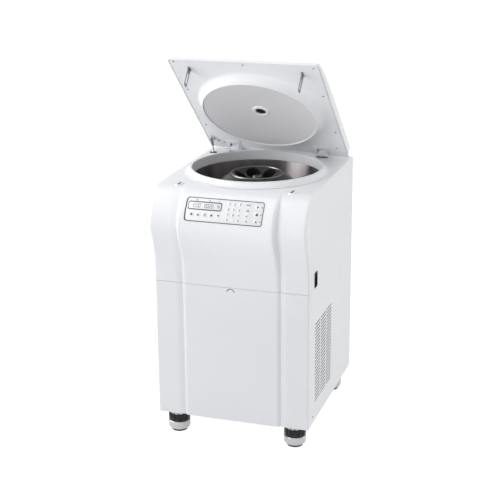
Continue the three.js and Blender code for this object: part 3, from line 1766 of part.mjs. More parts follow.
export default machine;
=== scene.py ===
# %% [markdown]
# # A floor-standing refrigerated centrifuge
#
# The real machine is a white steel and plastic cabinet on four levelling feet. Its lid stands open over a
# steel bowl with a rotor in it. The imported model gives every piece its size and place, and this notebook
# gives the pieces their finished surfaces and their materials.

import json
from math import cos, pi, radians, sin, tan

import bmesh
import bpy
import numpy as np
from mathutils import Matrix, Vector

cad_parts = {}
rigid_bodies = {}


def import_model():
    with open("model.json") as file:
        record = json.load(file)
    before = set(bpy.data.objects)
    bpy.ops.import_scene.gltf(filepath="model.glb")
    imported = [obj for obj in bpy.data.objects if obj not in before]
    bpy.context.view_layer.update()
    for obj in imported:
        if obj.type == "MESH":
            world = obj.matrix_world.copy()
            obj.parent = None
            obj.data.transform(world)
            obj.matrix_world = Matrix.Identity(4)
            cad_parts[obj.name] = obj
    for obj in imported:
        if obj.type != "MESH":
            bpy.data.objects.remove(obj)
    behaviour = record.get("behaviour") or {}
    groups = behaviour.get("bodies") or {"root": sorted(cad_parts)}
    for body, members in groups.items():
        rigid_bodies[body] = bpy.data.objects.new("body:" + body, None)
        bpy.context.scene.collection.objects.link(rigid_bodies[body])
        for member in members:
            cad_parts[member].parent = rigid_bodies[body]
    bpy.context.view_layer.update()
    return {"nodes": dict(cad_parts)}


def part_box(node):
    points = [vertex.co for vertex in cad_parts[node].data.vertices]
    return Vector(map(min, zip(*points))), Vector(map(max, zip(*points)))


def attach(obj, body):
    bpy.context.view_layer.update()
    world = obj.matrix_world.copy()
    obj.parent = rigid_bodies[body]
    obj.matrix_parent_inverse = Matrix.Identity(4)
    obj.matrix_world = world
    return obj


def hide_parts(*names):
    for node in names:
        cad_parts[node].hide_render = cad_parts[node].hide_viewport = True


for leftover in list(bpy.data.objects):
    bpy.data.objects.remove(leftover)
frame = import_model()

# %% [markdown]
# ## One set of coordinates
#
# All shapes below are worked out in millimetres. x runs to the right from the middle of the machine,
# y runs to the rear from its lower front face, and z runs up from the underside of the cabinet. That is
# how a maker would dimension the drawings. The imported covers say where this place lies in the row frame.

# %% Driving sizes, in millimetres
MM = 0.001
WIDTH = 550.0
SIDE = WIDTH / 2
DEPTH = 604.0
DECK = 828.0
SPLIT = 493.0
WALL = 3.0
SEAM = 2.0
SPLIT_GAP = 1.0
BULGE = 41.0
RAISE = 20.0
RAISED_HALF = 160.0
FLANK = 15.0
GROOVE = 5.0
GROOVE_RUN = 24.0
GROOVE_FADE = 70.0
EDGE_RADIUS = 4.5
CORNER_RADIUS = 10.0
RETURN = 25.0
LOW_RAISE = 0.12
BOWL_Y = 301.0
CLEAR = 6.0
FLOOR_Z = -80.0

cover_high, lower_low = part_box("top_cover")[1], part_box("lower_front_cover")[0]
ORIGIN = np.array([0.0, cover_high.y - DEPTH * MM, lower_low.z])
print("origin of the drawings in the row frame:", ORIGIN.round(4))

# %% [markdown]
# ## Turning numbers into meshes
#
# A surface is a grid of points: rows along one parameter, columns along the other. The faces join
# neighbours, and a grid may be wrapped round in one or both directions. Numpy makes all the points of a
# grid at once, which is quick and keeps each shape down to its formula.


# %% Grids
def to_row(points):
    """Millimetres of the drawings to metres of the row frame: times a thousandth, plus the origin."""
    return np.asarray(points, float).reshape(-1, 3) * MM + ORIGIN


def grid_faces(rows, columns, wrap_rows=False, wrap_columns=False):
    """Quads (i, j), (i, j+1), (i+1, j+1), (i+1, j) of a grid whose points are numbered row by row."""
    i = np.arange(rows if wrap_rows else rows - 1)[:, None]
    j = np.arange(columns if wrap_columns else columns - 1)[None, :]
    i2, j2 = (i + 1) % rows, (j + 1) % columns
    quads = np.stack([i * columns + j, i * columns + j2, i2 * columns + j2, i2 * columns + j], axis=-1)
    return quads.reshape(-1, 4).tolist()


def shade(obj, angle):
    """Smooth shading that stays crisp where two faces meet at more than the angle, in degrees."""
    obj.data.shade_smooth()
    obj.data.set_sharp_from_angle(angle=radians(angle))


def added(name, data):
    """A new object with this data, in the scene."""
    obj = bpy.data.objects.new(name, data)
    bpy.context.scene.collection.objects.link(obj)
    return obj


def new_piece(name, points, faces, angle=35):
    """A mesh object at the origin. Doubled points are merged and the faces are turned outwards."""
    mesh = bpy.data.meshes.new(name)
    mesh.from_pydata(to_row(points).tolist(), [], faces)
    work = bmesh.new()
    work.from_mesh(mesh)
    bmesh.ops.remove_doubles(work, verts=work.verts, dist=0.01 * MM)
    bmesh.ops.dissolve_degenerate(work, edges=work.edges, dist=0.001 * MM)
    bmesh.ops.recalc_face_normals(work, faces=work.faces)
    if work.calc_volume(signed=True) < 0:
        bmesh.ops.reverse_faces(work, faces=work.faces)
    work.to_mesh(mesh)
    work.free()
    obj = added(name, mesh)
    shade(obj, angle)
    return obj


def grid_piece(name, points, wrap_rows=False, wrap_columns=False, caps=False, angle=35):
    """A grid as an object. Caps close the first and the last row with one flat face each."""
    rows, columns = points.shape[:2]
    faces = grid_faces(rows, columns, wrap_rows, wrap_columns)
    if caps:
        faces.append(list(range(columns))[::-1])
        faces.append(list(range((rows - 1) * columns, rows * columns)))
    return new_piece(name, points, faces, angle)


def loft_piece(name, rings, angle=35):
    """Rings that follow each other round a body, with one flat cheek at each end of the rings."""
    rows, columns = rings.shape[:2]
    faces = grid_faces(rows, columns, wrap_rows=True)
    faces.append([i * columns for i in range(rows)])
    faces.append([i * columns + columns - 1 for i in range(rows)][::-1])
    return new_piece(name, rings, faces, angle)


# %% [markdown]
# ## Outlines with round corners
#
# Sheet metal and mouldings have no needle-sharp corners. An outline is written as its corners with a
# radius each, and every corner becomes an arc that touches both its sides.


# %% Outlines
def fillet(corners, steps=6):
    """Corners (u, v, radius) to outline points. The arc's centre lies on the bisector of the corner, at
    radius / sin(half the corner's angle), and the arc runs from one touching point to the other."""
    corners = [tuple(map(float, corner)) for corner in corners]
    count = len(corners)
    outline = []
    for i, (u, v, radius) in enumerate(corners):
        here = np.array([u, v])
        if radius <= 0:
            outline.append(here)
            continue
        back = np.array(corners[i - 1][:2]) - here
        ahead = np.array(corners[(i + 1) % count][:2]) - here
        back_length, ahead_length = np.linalg.norm(back), np.linalg.norm(ahead)
        back, ahead = back / back_length, ahead / ahead_length
        half = np.arccos(np.clip(back @ ahead, -1, 1)) / 2
        touch = min(radius / tan(half), 0.49 * back_length, 0.49 * ahead_length)
        centre = here + (back + ahead) / np.linalg.norm(back + ahead) * touch / cos(half)
        start, end = here + back * touch - centre, here + ahead * touch - centre
        sweep = pi - 2 * half
        t = np.linspace(0, 1, steps + 1)[:, None]
        arc = (np.sin((1 - t) * sweep) * start + np.sin(t * sweep) * end) / sin(sweep)
        outline.extend(centre + arc)
    return np.array(outline)


def rectangle(u, v, width, height, radius, steps=6):
    """The outline of a rectangle with round corners about a middle point, anticlockwise."""
    a, b = width / 2, height / 2
    corners = [(u - a, v - b, radius), (u + a, v - b, radius), (u + a, v + b, radius), (u - a, v + b, radius)]
    return fillet(corners, steps)


def circle(u, v, radius, steps=32):
    """Points at equal angles round a circle."""
    angle = np.arange(steps) / steps * 2 * pi
    return np.stack([u + radius * np.cos(angle), v + radius * np.sin(angle)], axis=1)


def arc(cu, cv, radius, start, end, steps=8):
    """Points on an arc about (cu, cv), with its angles in degrees."""
    a = np.radians(np.linspace(start, end, steps + 1))
    return np.column_stack([cu + radius * np.cos(a), cv + radius * np.sin(a)])


def grown(outline, amount):
    """The outline moved outwards by an amount, along the mean normal of the two sides at each point."""
    side = np.roll(outline, -1, axis=0) - outline
    side /= np.linalg.norm(side, axis=1, keepdims=True) + 1e-12
    normal = np.stack([side[:, 1], -side[:, 0]], axis=1)
    mean = normal + np.roll(normal, 1, axis=0)
    mean /= (mean * mean).sum(axis=1, keepdims=True) / 2 + 1e-12
    area = (outline[:, 0] * np.roll(outline[:, 1], -1) - outline[:, 1] * np.roll(outline[:, 0], -1)).sum()
    return outline + mean * amount * np.sign(area)


AXES = {"x": [2, 0, 1], "y": [0, 2, 1], "z": [0, 1, 2]}
CORE = 0.01
SHARP = 0.01


def carried(name, outline, stations, axis, angle=35):
    """An outline carried along an axis through stations, each a place and how far it is grown there. Its
    pair of coordinates is (y, z) along x, (x, z) along y and (x, y) along z."""
    rows = [np.column_stack([grown(outline, out), np.full(len(outline), at)]) for at, out in stations]
    return grid_piece(name, np.array(rows)[:, :, AXES[axis]], wrap_columns=True, caps=True, angle=angle)


def slab(name, outline, low, high, axis="z", soft=0.4, angle=50):
    """An outline carried from low to high, with its two rims eased over a soft width."""
    stations = [(low, -soft), (low + soft / 3, -soft / 3), (low + soft, 0)]
    stations += [(high - soft, 0), (high - soft / 3, -soft / 3), (high, -soft)]
    return carried(name, outline, stations, axis, angle)


def hole(outline, low, high, axis="z"):
    """A slab with sharp rims, to cut with."""
    return slab("cutter", outline, low, high, axis=axis, soft=SHARP)


def revolved(profile, sides):
    """A profile (radius, height) turned about an axis: u = radius cos(a), v = radius sin(a), w = height."""
    profile = np.asarray(profile, float)
    a = np.arange(sides)[None, :] / sides * 2 * pi
    u, v = profile[:, 0, None] * np.cos(a), profile[:, 0, None] * np.sin(a)
    return u, v, np.broadcast_to(profile[:, 1, None], u.shape)


def turned(name, profile, centre=(0.0, BOWL_Y), sides=192, closed=True, angle=35):
    """A profile turned about the upright line through a centre. A solid one starts and ends at CORE."""
    u, v, w = revolved(profile, sides)
    points = np.stack([u + centre[0], v + centre[1], w], axis=-1)
    return grid_piece(name, points, wrap_rows=closed, wrap_columns=True, angle=angle)


def bore(radius, low, high, centre=(0.0, BOWL_Y), sides=64):
    """A cylinder along z, to cut with."""
    return turned("cutter", [[CORE, low], [radius, low], [radius, high], [CORE, high]], centre, sides)


# %% [markdown]
# ## Cutting holes
#
# Slots, ports and vents are cut with Boolean modifiers, the way a mould insert or a punch leaves them.
# The cutters are applied and removed at once, so that only finished meshes stay in the scene.


# %% Cutting
def applied(obj):
    """Replaces an object's mesh by what its modifiers make of it."""
    graph = bpy.context.evaluated_depsgraph_get()
    mesh = bpy.data.meshes.new_from_object(obj.evaluated_get(graph))
    obj.modifiers.clear()
    obj.data = mesh
    return obj


def combined(obj, others, operation, angle=35):
    """Joins, cuts or intersects an object with others, which are then deleted."""
    for other in others:
        step = obj.modifiers.new(operation.lower(), "BOOLEAN")
        step.operation = operation
        step.object = other
        step.solver = "EXACT"
    applied(obj)
    for other in others:
        bpy.data.objects.remove(other)
    work = bmesh.new()
    work.from_mesh(obj.data)
    bmesh.ops.remove_doubles(work, verts=work.verts, dist=0.005 * MM)
    bmesh.ops.dissolve_degenerate(work, edges=work.edges, dist=0.005 * MM)
    work.to_mesh(obj.data)
    work.free()
    shade(obj, angle)
    return obj


def cut(obj, *cutters, angle=35):
    return combined(obj, cutters, "DIFFERENCE", angle)


def kept_flat(obj):
    """Lets large flat faces rule the shading beside small round ones."""
    step = obj.modifiers.new("even shading", "WEIGHTED_NORMAL")
    step.keep_sharp = True
    step.weight = 60
    return obj


def merged(name, pieces, angle=None):
    """Several meshes as one object."""
    work = bmesh.new()
    for piece in pieces:
        work.from_mesh(piece.data)
    mesh = bpy.data.meshes.new(name)
    work.to_mesh(mesh)
    work.free()
    for piece in pieces:
        bpy.data.objects.remove(piece)
    obj = added(name, mesh)
    if angle is not None:
        shade(obj, angle)
    return obj


# %% [markdown]
# ## Materials
#
# Each finish is built from noise on Object coordinates: a slow one that shifts the colour a little, a
# middling one that varies the gloss, and a fine one that lifts the surface, such as the orange peel of
# powder coat. The amounts are small, because these finishes are nearly even on the real machine.


# %% Material kit
def noise(tree, scale, detail=3.0, stretch=None):
    """A noise on Object coordinates, in features per metre. Stretch squeezes it along an axis."""
    coordinates = tree.nodes.new("ShaderNodeTexCoord")
    texture = tree.nodes.new("ShaderNodeTexNoise")
    texture.inputs["Scale"].default_value = scale
    texture.inputs["Detail"].default_value = detail
    source = coordinates.outputs["Object"]
    if stretch is not None:
        mapping = tree.nodes.new("ShaderNodeMapping")
        mapping.inputs["Scale"].default_value = stretch
        tree.links.new(source, mapping.inputs["Vector"])
        source = mapping.outputs["Vector"]
    tree.links.new(source, texture.inputs["Vector"])
    return texture.outputs["Fac"]


def material(name, colour, roughness, metallic=0.0, tone=0.02, gloss=0.05, bump=0.1, grain=900.0,
             spread=6.0, stretch=None, coat=0.0, specular=0.5):
    """A finish whose colour varies by tone, whose roughness varies by gloss and whose surface is lifted
    by bump, in millimetres, at grain features per metre."""
    made = bpy.data.materials.new(name)
    made.use_nodes = True
    tree = made.node_tree
    shader = tree.nodes["Principled BSDF"]
    shader.inputs["Metallic"].default_value = metallic
    shader.inputs["Specular IOR Level"].default_value = specular
    if coat:
        shader.inputs["Coat Weight"].default_value = coat
        shader.inputs["Coat Roughness"].default_value = 0.12
    ramp = tree.nodes.new("ShaderNodeValToRGB")
    ramp.color_ramp.elements[0].position = 0.3
    ramp.color_ramp.elements[1].position = 0.7
    for element, factor in zip(ramp.color_ramp.elements, (1 - tone, 1 + tone)):
        element.color = [min(part * factor, 1.0) for part in colour] + [1.0]
    tree.links.new(noise(tree, spread, stretch=stretch), ramp.inputs["Fac"])
    tree.links.new(ramp.outputs["Color"], shader.inputs["Base Color"])
    gloss_range = tree.nodes.new("ShaderNodeMapRange")
    gloss_range.inputs["From Min"].default_value = 0.3
    gloss_range.inputs["From Max"].default_value = 0.7
    gloss_range.inputs["To Min"].default_value = max(roughness - gloss, 0.02)
    gloss_range.inputs["To Max"].default_value = min(roughness + gloss, 1.0)
    tree.links.new(noise(tree, spread * 7, stretch=stretch), gloss_range.inputs["Value"])
    tree.links.new(gloss_range.outputs["Result"], shader.inputs["Roughness"])
    if bump:
        lift = tree.nodes.new("ShaderNodeBump")
        lift.inputs["Strength"].default_value = 0.35
        lift.inputs["Distance"].default_value = bump * MM
        tree.links.new(noise(tree, grain, 2.0, stretch), lift.inputs["Height"])
        tree.links.new(lift.outputs["Normal"], shader.inputs["Normal"])
    return made


def dress(obj, finish):
    """Gives an object one material."""
    obj.data.materials.clear()
    obj.data.materials.append(finish)
    return obj


def place(obj, finish, body, slot, *replaced):
    """The end of every piece: its material, the body it rides on and the nodes it stands for. The slot is not
    used.
    """
    dress(obj, finish)
    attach(obj, body)
    if replaced:
        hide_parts(*replaced)
    return obj


# %% The finishes of this machine
moulded_white = material("moulded_white", (0.80, 0.81, 0.835), 0.38, tone=0.008, bump=0.05, grain=1400)
coated_white = material("coated_white", (0.79, 0.80, 0.825), 0.42, tone=0.008, bump=0.12, grain=1100)
liner_white = material("liner_white", (0.77, 0.78, 0.80), 0.45, tone=0.01, bump=0.06, grain=1200,
                       specular=0.08)
collar_white = material("collar_white", (0.77, 0.78, 0.80), 0.42, tone=0.005, gloss=0.01, bump=0.0,
                        specular=0.35)
dish_grey = material("dish_grey", (0.72, 0.72, 0.74), 0.4, tone=0.015, gloss=0.02, bump=0.02, grain=1600)
dark_stainless = material("dark_stainless", (0.19, 0.175, 0.18), 0.38, metallic=1.0, tone=0.14, gloss=0.01,
                          bump=0.0, spread=30, stretch=(1, 1, 0.05))
brushed = dark_stainless.node_tree
brushing = brushed.nodes.new("ShaderNodeTangent")
brushing.direction_type = "RADIAL"
brushing.axis = "Z"
steel = brushed.nodes["Principled BSDF"]
steel.inputs["Anisotropic"].default_value = 1.0
steel.inputs["Anisotropic Rotation"].default_value = 0.25
brushed.links.new(brushing.outputs["Tangent"], steel.inputs["Tangent"])
rotor_black = material("rotor_black", (0.045, 0.043, 0.045), 0.3, metallic=0.55, tone=0.1, bump=0.02,
                       grain=1500)
rotor_rim = material("rotor_rim", (0.15, 0.143, 0.147), 0.34, metallic=0.95, tone=0.05, bump=0.02, grain=1500)
striker_zinc = material("striker_zinc", (0.26, 0.26, 0.27), 0.42, metallic=0.85, tone=0.05, bump=0.03)
nut_steel = material("nut_steel", (0.12, 0.12, 0.12), 0.35, metallic=0.8, tone=0.06, bump=0.02)
hinge_grey = material("hinge_grey", (0.56, 0.565, 0.58), 0.5, tone=0.02, bump=0.06)
seam_grey = material("seam_grey", (0.78, 0.79, 0.81), 0.6, tone=0.02, bump=0.0)
bright_steel = material("bright_steel", (0.60, 0.60, 0.61), 0.3, metallic=1.0, tone=0.06, bump=0.02,
                        grain=1200)
screw_dark = material("screw_dark", (0.10, 0.10, 0.10), 0.4, metallic=0.6, tone=0.06, bump=0.02)
screw_steel = material("screw_steel", (0.30, 0.30, 0.31), 0.35, metallic=0.9, tone=0.08, bump=0.02,
                       grain=1500)
zinc_plate = material("zinc_plate", (0.48, 0.49, 0.50), 0.45, metallic=0.7, tone=0.1, bump=0.06, spread=20)
dark_enamel = material("dark_enamel", (0.05, 0.05, 0.055), 0.4, tone=0.1, bump=0.1)
light_foot = material("light_foot", (0.55, 0.55, 0.57), 0.28, metallic=0.5, tone=0.04, bump=0.04)
copper_tube = material("copper_tube", (0.72, 0.36, 0.21), 0.3, metallic=1.0, tone=0.12, bump=0.03, spread=25)
foam_cream = material("foam_cream", (0.68, 0.62, 0.48), 0.9, tone=0.08, bump=0.8, grain=350, spread=30)
black_plastic = material("black_plastic", (0.014, 0.014, 0.015), 0.4, tone=0.1, bump=0.06, specular=0.3)
matte_black = material("matte_black", (0.010, 0.010, 0.011), 0.6, tone=0.1, bump=0.04, specular=0.1)
gloss_black = material("gloss_black", (0.010, 0.010, 0.011), 0.13, tone=0.1, gloss=0.02, bump=0.0,
                       specular=0.32)
black_rubber = material("black_rubber", (0.018, 0.018, 0.019), 0.72, tone=0.12, bump=0.1)
bare_fins = material("bare_fins", (0.62, 0.63, 0.64), 0.35, metallic=0.9, tone=0.06, bump=0.3, grain=400,
                     stretch=(1, 6, 1))
foil_white = material("foil_white", (0.775, 0.785, 0.80), 0.55, specular=0.1, tone=0.008, bump=0.03,
                      grain=2500)
key_white = material("key_white", (0.775, 0.785, 0.80), 0.5, specular=0.1, tone=0.01, bump=0.0)
key_grey = material("key_grey", (0.76, 0.765, 0.785), 0.4, tone=0.01, bump=0.0)
foil_border = material("foil_border", (0.07, 0.073, 0.08), 0.5, specular=0.1, tone=0.03, bump=0.0)
print_dark = material("print_dark", (0.06, 0.062, 0.07), 0.5, tone=0.03, bump=0.0)
print_grey = material("print_grey", (0.30, 0.31, 0.33), 0.5, tone=0.03, bump=0.0)
display_grey = material("display_grey", (0.74, 0.76, 0.76), 0.3, tone=0.02, bump=0.0)
lamp_dark = material("lamp_dark", (0.05, 0.09, 0.05), 0.2, tone=0.05, bump=0.0, coat=0.5)


def tinted_glass():
    """Smoked glass for the sight port: it lets a little light pass and reflects at its surface."""
    made = bpy.data.materials.new("tinted_glass")
    made.use_nodes = True
    shader = made.node_tree.nodes["Principled BSDF"]
    shader.inputs["Base Color"].default_value = (0.03, 0.032, 0.035, 1)
    shader.inputs["Roughness"].default_value = 0.08
    shader.inputs["Transmission Weight"].default_value = 0.3
    shader.inputs["IOR"].default_value = 1.46
    return made


port_glass = tinted_glass()
print("materials:", len(bpy.data.materials))

# %% [markdown]
# ## The S-shaped front
#
# Seen from the side, the front rises straight, swells out, and rolls over into the deck. The outline is a
# smooth curve through a few chosen points. Each carries how far the middle panel stands proud there.


# %% The front outline
def smooth_curve(points, steps):
    """A curve through the points. Between two of them it is a cubic whose slopes come from the neighbours,
    with the square root of each chord as its share of the parameter, so it neither loops nor overshoots."""
    points = np.asarray(points, float)
    full = np.vstack([2 * points[0] - points[1], points, 2 * points[-1] - points[-2]])
    chord = np.sqrt(np.linalg.norm(np.diff(full, axis=0), axis=1))
    share = np.linspace(0, len(points) - 1, steps + 1)
    k = np.minimum(share.astype(int), len(points) - 2)
    t = (share - k)[:, None]
    p0, p1, p2, p3 = full[k], full[k + 1], full[k + 2], full[k + 3]
    d0, d1, d2 = chord[k][:, None], chord[k + 1][:, None], chord[k + 2][:, None]
    m1 = d1 * ((p1 - p0) / d0 - (p2 - p0) / (d0 + d1) + (p2 - p1) / d1)
    m2 = d1 * ((p2 - p1) / d1 - (p3 - p1) / (d1 + d2) + (p3 - p2) / d2)
    bend = -3 * p1 + 3 * p2 - 2 * m1 - m2
    twist = 2 * p1 - 2 * p2 + m1 + m2
    return p1 + m1 * t + bend * t**2 + twist * t**3


FRONT_SHARES = np.array([
    [1, -1.5, 0], [0.995, -1, 0.03], [0.98, -0.55, 0.12], [0.95, -0.1, 0.3], [0.9, 0.22, 0.55],
    [0.83, 0.56, 0.8], [0.76, 0.82, 0.95], [0.68, 0.98, 1], [0.62, 1, 1], [0.56, 0.9, 0.96],
    [0.485, 0.67, 0.86], [0.41, 0.45, 0.7], [0.335, 0.25, 0.53], [0.26, 0.1, 0.38], [0.19, 0.03, 0.25],
    [0.11, 0, 0.16],
])
UPPER = DECK - SPLIT
front_knots = np.stack([
    -FRONT_SHARES[:, 1] * BULGE, SPLIT + FRONT_SHARES[:, 0] * UPPER, FRONT_SHARES[:, 2] * BULGE], axis=1)
front = smooth_curve(front_knots, 150)
front[:, 1] = np.minimum(front[:, 1], DECK)
front[:, 2] = np.maximum(front[:, 2] / BULGE, 0)


def with_normals(outline):
    """Adds the outward normal to rows of (y, z, raise): the tangent turned by a quarter."""
    run = np.vstack([outline[1] - outline[0], outline[2:] - outline[:-2], outline[-1] - outline[-2]])[:, :2]
    run /= np.linalg.norm(run, axis=1, keepdims=True)
    return np.column_stack([outline, run[:, 1], -run[:, 0]])


def section_half(row, half, inset):
    """Pairs (x, offset) from the middle panel's edge to the cheek. The edge rolls off as 1 - t^2.4 into a
    groove, a slow rise leads out of it, and a quarter circle turns round to the side."""
    share = row[2]
    lift, groove = RAISE * share, GROOVE * min(1, share / LOW_RAISE, max(DECK - row[1], 0) / GROOVE_FADE)
    radius = max(EDGE_RADIUS + (CORNER_RADIUS - EDGE_RADIUS) * share, inset)
    t = 1 - np.linspace(1, 0, 15) ** 1.6
    flank = np.column_stack([RAISED_HALF + FLANK * t, -groove + (lift + groove) * (1 - t**2.4) - inset])
    t = np.linspace(0, 1, 7)[1:]
    run_out = np.column_stack([RAISED_HALF + FLANK + GROOVE_RUN * t, -groove * (1 - t) ** 1.5 - inset])
    angle = np.linspace(0, pi / 2, 9)
    reach = radius - inset
    corner = np.column_stack([
        half - radius + reach * np.sin(angle), -inset - reach * (1 - np.cos(angle))])
    return np.vstack([flank, run_out, corner])


def section_rings(rows, half, inset):
    """Rings across the machine at rows of (y, z, raise, normal y, normal z)."""
    rings = []
    for row in rows:
        right = section_half(row, half, inset)
        pairs = np.vstack([right[::-1] * [-1, 1], right])
        y, z = row[0] + row[3] * pairs[:, 1], row[1] + row[4] * pairs[:, 1]
        rings.append(np.column_stack([pairs[:, 0], y, z]))
    return rings


def cover_block(rows, backs, inset):
    """All that lies behind a cover's surface, drawn in by inset: its rings and the corners behind them."""
    rows = with_normals(np.array(rows, float))
    behind = [[y, z, rows[0][2], 0, 0] for y, z in backs]
    return np.array(section_rings(list(rows) + behind, SIDE, inset))


# %% [markdown]
# ## The two front covers
#
# The top cover is a block behind the outline less the same block drawn in by the wall, so that a shell
# stays. The lower cover is made the same way. The seams between covers show as thin lines.


# %% Tools for the covers
def box_between(low, high):
    """A plain box, to cut with."""
    low, high = np.array(low, float), np.array(high, float)
    corners = np.array([[x, y, z] for x in (0, 1) for y in (0, 1) for z in (0, 1)])
    faces = [(0, 1, 3, 2), (4, 6, 7, 5), (0, 4, 5, 1), (2, 3, 7, 6), (0, 2, 6, 4), (1, 5, 7, 3)]
    return new_piece("cutter", low + corners * (high - low), faces)


def deck_rows(spare):
    """Rows of the top cover: the flat deck, a few rows that keep it flat up to the roll, and the front."""
    deck = [[DEPTH + spare, DECK, 0], [DEPTH - 4, DECK, 0], [400, DECK, 0], [200, DECK, 0]]
    deck += [[y, DECK, 0] for y in (100, 76, 68)]
    tail = [[0, z, LOW_RAISE] for z in (SPLIT + 24, SPLIT + 12, SPLIT + SPLIT_GAP + 1.5)]
    tail += [[0, SPLIT + SPLIT_GAP - spare, LOW_RAISE]]
    return deck + front.tolist() + tail


STRIKER_X = SIDE - 76
SLOT_Y = 60.0
HINGE_X = SIDE - 107
HINGE_Y = 571.9
COLLAR_TOP = DECK + 20
LID_UNDER = COLLAR_TOP + 1
HINGE_Z = LID_UNDER + 25.1
STRUT_X = -(SIDE - 33)
STRUT_HOLE_Y = DEPTH - 80
UNDER_DECK = DECK - WALL
STRIKER_PAIR, HINGE_PAIR = (-STRIKER_X, STRIKER_X), (-HINGE_X, HINGE_X)
LATCH_SLOT, LATCH_BOSS, HINGE_HOLE = (8, 36, 3.9), (25, 45, 12), (31.2, 35.2, 2.5)
DECK_HOLE, STRUT_HOLE = 249.3, 9.4
ROLL_START, ROLL_DROP = 62, 10


def latch_slot(x, low, high):
    """The slot with round ends for a striker, to cut with."""
    return hole(rectangle(x, SLOT_Y, *LATCH_SLOT, steps=8), low, high)


def latch_cutter(x):
    """The slot below a shallow dish: one turned body and one slab, joined."""
    a = np.linspace(0, pi / 2, 9)
    dish = np.column_stack([15.5 + 6.5 * np.sin(a), DECK + 0.05 - 1.7 * np.cos(a)])
    profile = np.vstack([[CORE, DECK - 1.65], dish, [22.0, DECK + 6], [CORE, DECK + 6]])
    dish_body = turned("cutter", profile, centre=(x, SLOT_Y), sides=72)
    return combined(dish_body, [latch_slot(x, UNDER_DECK - 10, DECK + 6)], "UNION")


def latch_boss(x):
    """A raised frame round the slot, with its edges rounded."""
    outline = rectangle(x, SLOT_Y, *LATCH_BOSS, steps=10)
    boss = slab("latch_boss", outline, DECK - 3.2, DECK + 1.5, soft=1.8, angle=60)
    return cut(boss, latch_slot(x, DECK - 9, DECK + 9), angle=45)


def side_outline(near, far, low, high):
    """The outline of a side under the deck's roll, as (y, z)."""
    return np.array([[near, low], [far, low], [far, high], [ROLL_START, high],
                     [near, high - ROLL_DROP * (1 - near / ROLL_START)]])


# %% The top cover
COVER_LOW = SPLIT + SPLIT_GAP
top_cover = loft_piece("top_cover_skin", cover_block(deck_rows(0), [[DEPTH, COVER_LOW]], 0), angle=28)
top_inside = loft_piece("cutter", cover_block(deck_rows(CLEAR), [[DEPTH + CLEAR, COVER_LOW - CLEAR]], WALL))
cheek_outline = side_outline(RETURN, DEPTH + CLEAR, SPLIT - CLEAR, UNDER_DECK)
cheeks = carried("cutter", cheek_outline, [(-WIDTH, 0), (WIDTH, 0)], "x")
bowl_hole = bore(DECK_HOLE, DECK - 28, DECK + 12, sides=128)
strut_hole = turned("cutter", [
    [CORE, DECK - 13], [STRUT_HOLE, DECK - 13], [STRUT_HOLE, DECK - 0.6], [10, DECK + 0.1],
    [10, DECK + 12], [CORE, DECK + 12]], centre=(STRUT_X, STRUT_HOLE_Y), sides=40)
hinge_holes = [
    hole(rectangle(x, HINGE_Y + 9, *HINGE_HOLE), UNDER_DECK - 10, DECK + 6) for x in HINGE_PAIR]
latch_holes = [latch_cutter(x) for x in STRIKER_PAIR]
cut(top_cover, top_inside, cheeks, bowl_hole, strut_hole, *hinge_holes, *latch_holes, angle=28)
place(kept_flat(top_cover), moulded_white, "cabinet", "white_plastic", "top_cover")
bosses = [latch_boss(x) for x in STRIKER_PAIR]
place(merged("latch_bosses", bosses, 45), moulded_white, "cabinet", "white_plastic")
slot_liners = []
for x in STRIKER_PAIR:
    sleeve = slab("sleeve", rectangle(x, SLOT_Y, 9.4, 37.4, 4.4, steps=8), DECK - 12, DECK - 0.4, soft=0.1)
    slot_liners.append(cut(sleeve, latch_slot(x, DECK - 19, DECK + 9)))
place(merged("slot_liners", slot_liners, 45), black_plastic, "cabinet", "black_plastic")
# A black rubber grommet round the strut's hole. Its flange is drawn wide as painted shade for the dark hole
# round the rod.
grommet_shade_profile = np.vstack([
    [9.2, DECK - 9], [9.9, DECK - 9], [9.9, DECK], [13.6, DECK + 0.05], [13.6, DECK + 0.3],
    arc(12.8, DECK + 0.2, 0.8, 0, 90, 4), [10.0, DECK + 0.9], [9.2, DECK]])
grommet_and_hole_shade = turned("strut_grommet_hole_shade", grommet_shade_profile, centre=(STRUT_X, STRUT_HOLE_Y), sides=48)
place(grommet_and_hole_shade, matte_black, "cabinet", "rubber")
lip_outline = rectangle(0, DEPTH - 3.4, WIDTH - 30, 5.4, 2)
rear_lip = slab("rear_lip", lip_outline, DECK - 0.1, DECK + 5.2, soft=1.6, angle=60)
place(rear_lip, moulded_white, "cabinet", "white_plastic")
shields = [
    slab("shield", rectangle(x, DECK + 10, 62, 27, 5), DEPTH - 5.6, DEPTH - 1.4, axis="y", soft=1.2, angle=60)
    for x in HINGE_PAIR]
place(merged("hinge_shields", shields, 60), moulded_white, "cabinet", "white_plastic")
print("top cover:", len(top_cover.data.polygons), "faces")

# %% The lower front cover with its thumb notch
low_rows = [[0, z, LOW_RAISE] for z in (SPLIT, SPLIT - 1, 330, 165, 0)]
low_spare = [[0, z, LOW_RAISE] for z in (SPLIT + CLEAR, 250, -CLEAR)]
behind = RETURN + CLEAR
lower_cover = loft_piece("lower_cover_skin", cover_block(low_rows, [[RETURN, 0], [RETURN, SPLIT]], 0),
                         angle=28)
lower_inside = loft_piece("cutter", cover_block(low_spare, [[behind, -CLEAR], [behind, SPLIT + CLEAR]], WALL))
notch_front = -RAISE * LOW_RAISE
notch_edge = np.vstack([arc(0, SPLIT - 17, 14.4, 10, 170, 24), arc(0, SPLIT - 17, 11.4, 170, 10, 24)])
cut(lower_cover, lower_inside, hole(notch_edge, notch_front - 6, notch_front + 9, "y"), angle=28)
place(kept_flat(lower_cover), moulded_white, "cabinet", "white_plastic", "lower_front_cover")

# %% [markdown]
# ## Side and rear panels
#
# The sides are folded sheet with powder coat. The right one is punched with three columns of slots, and the
# lip of each slot leans outwards a little, so that it catches the light below a dark opening.


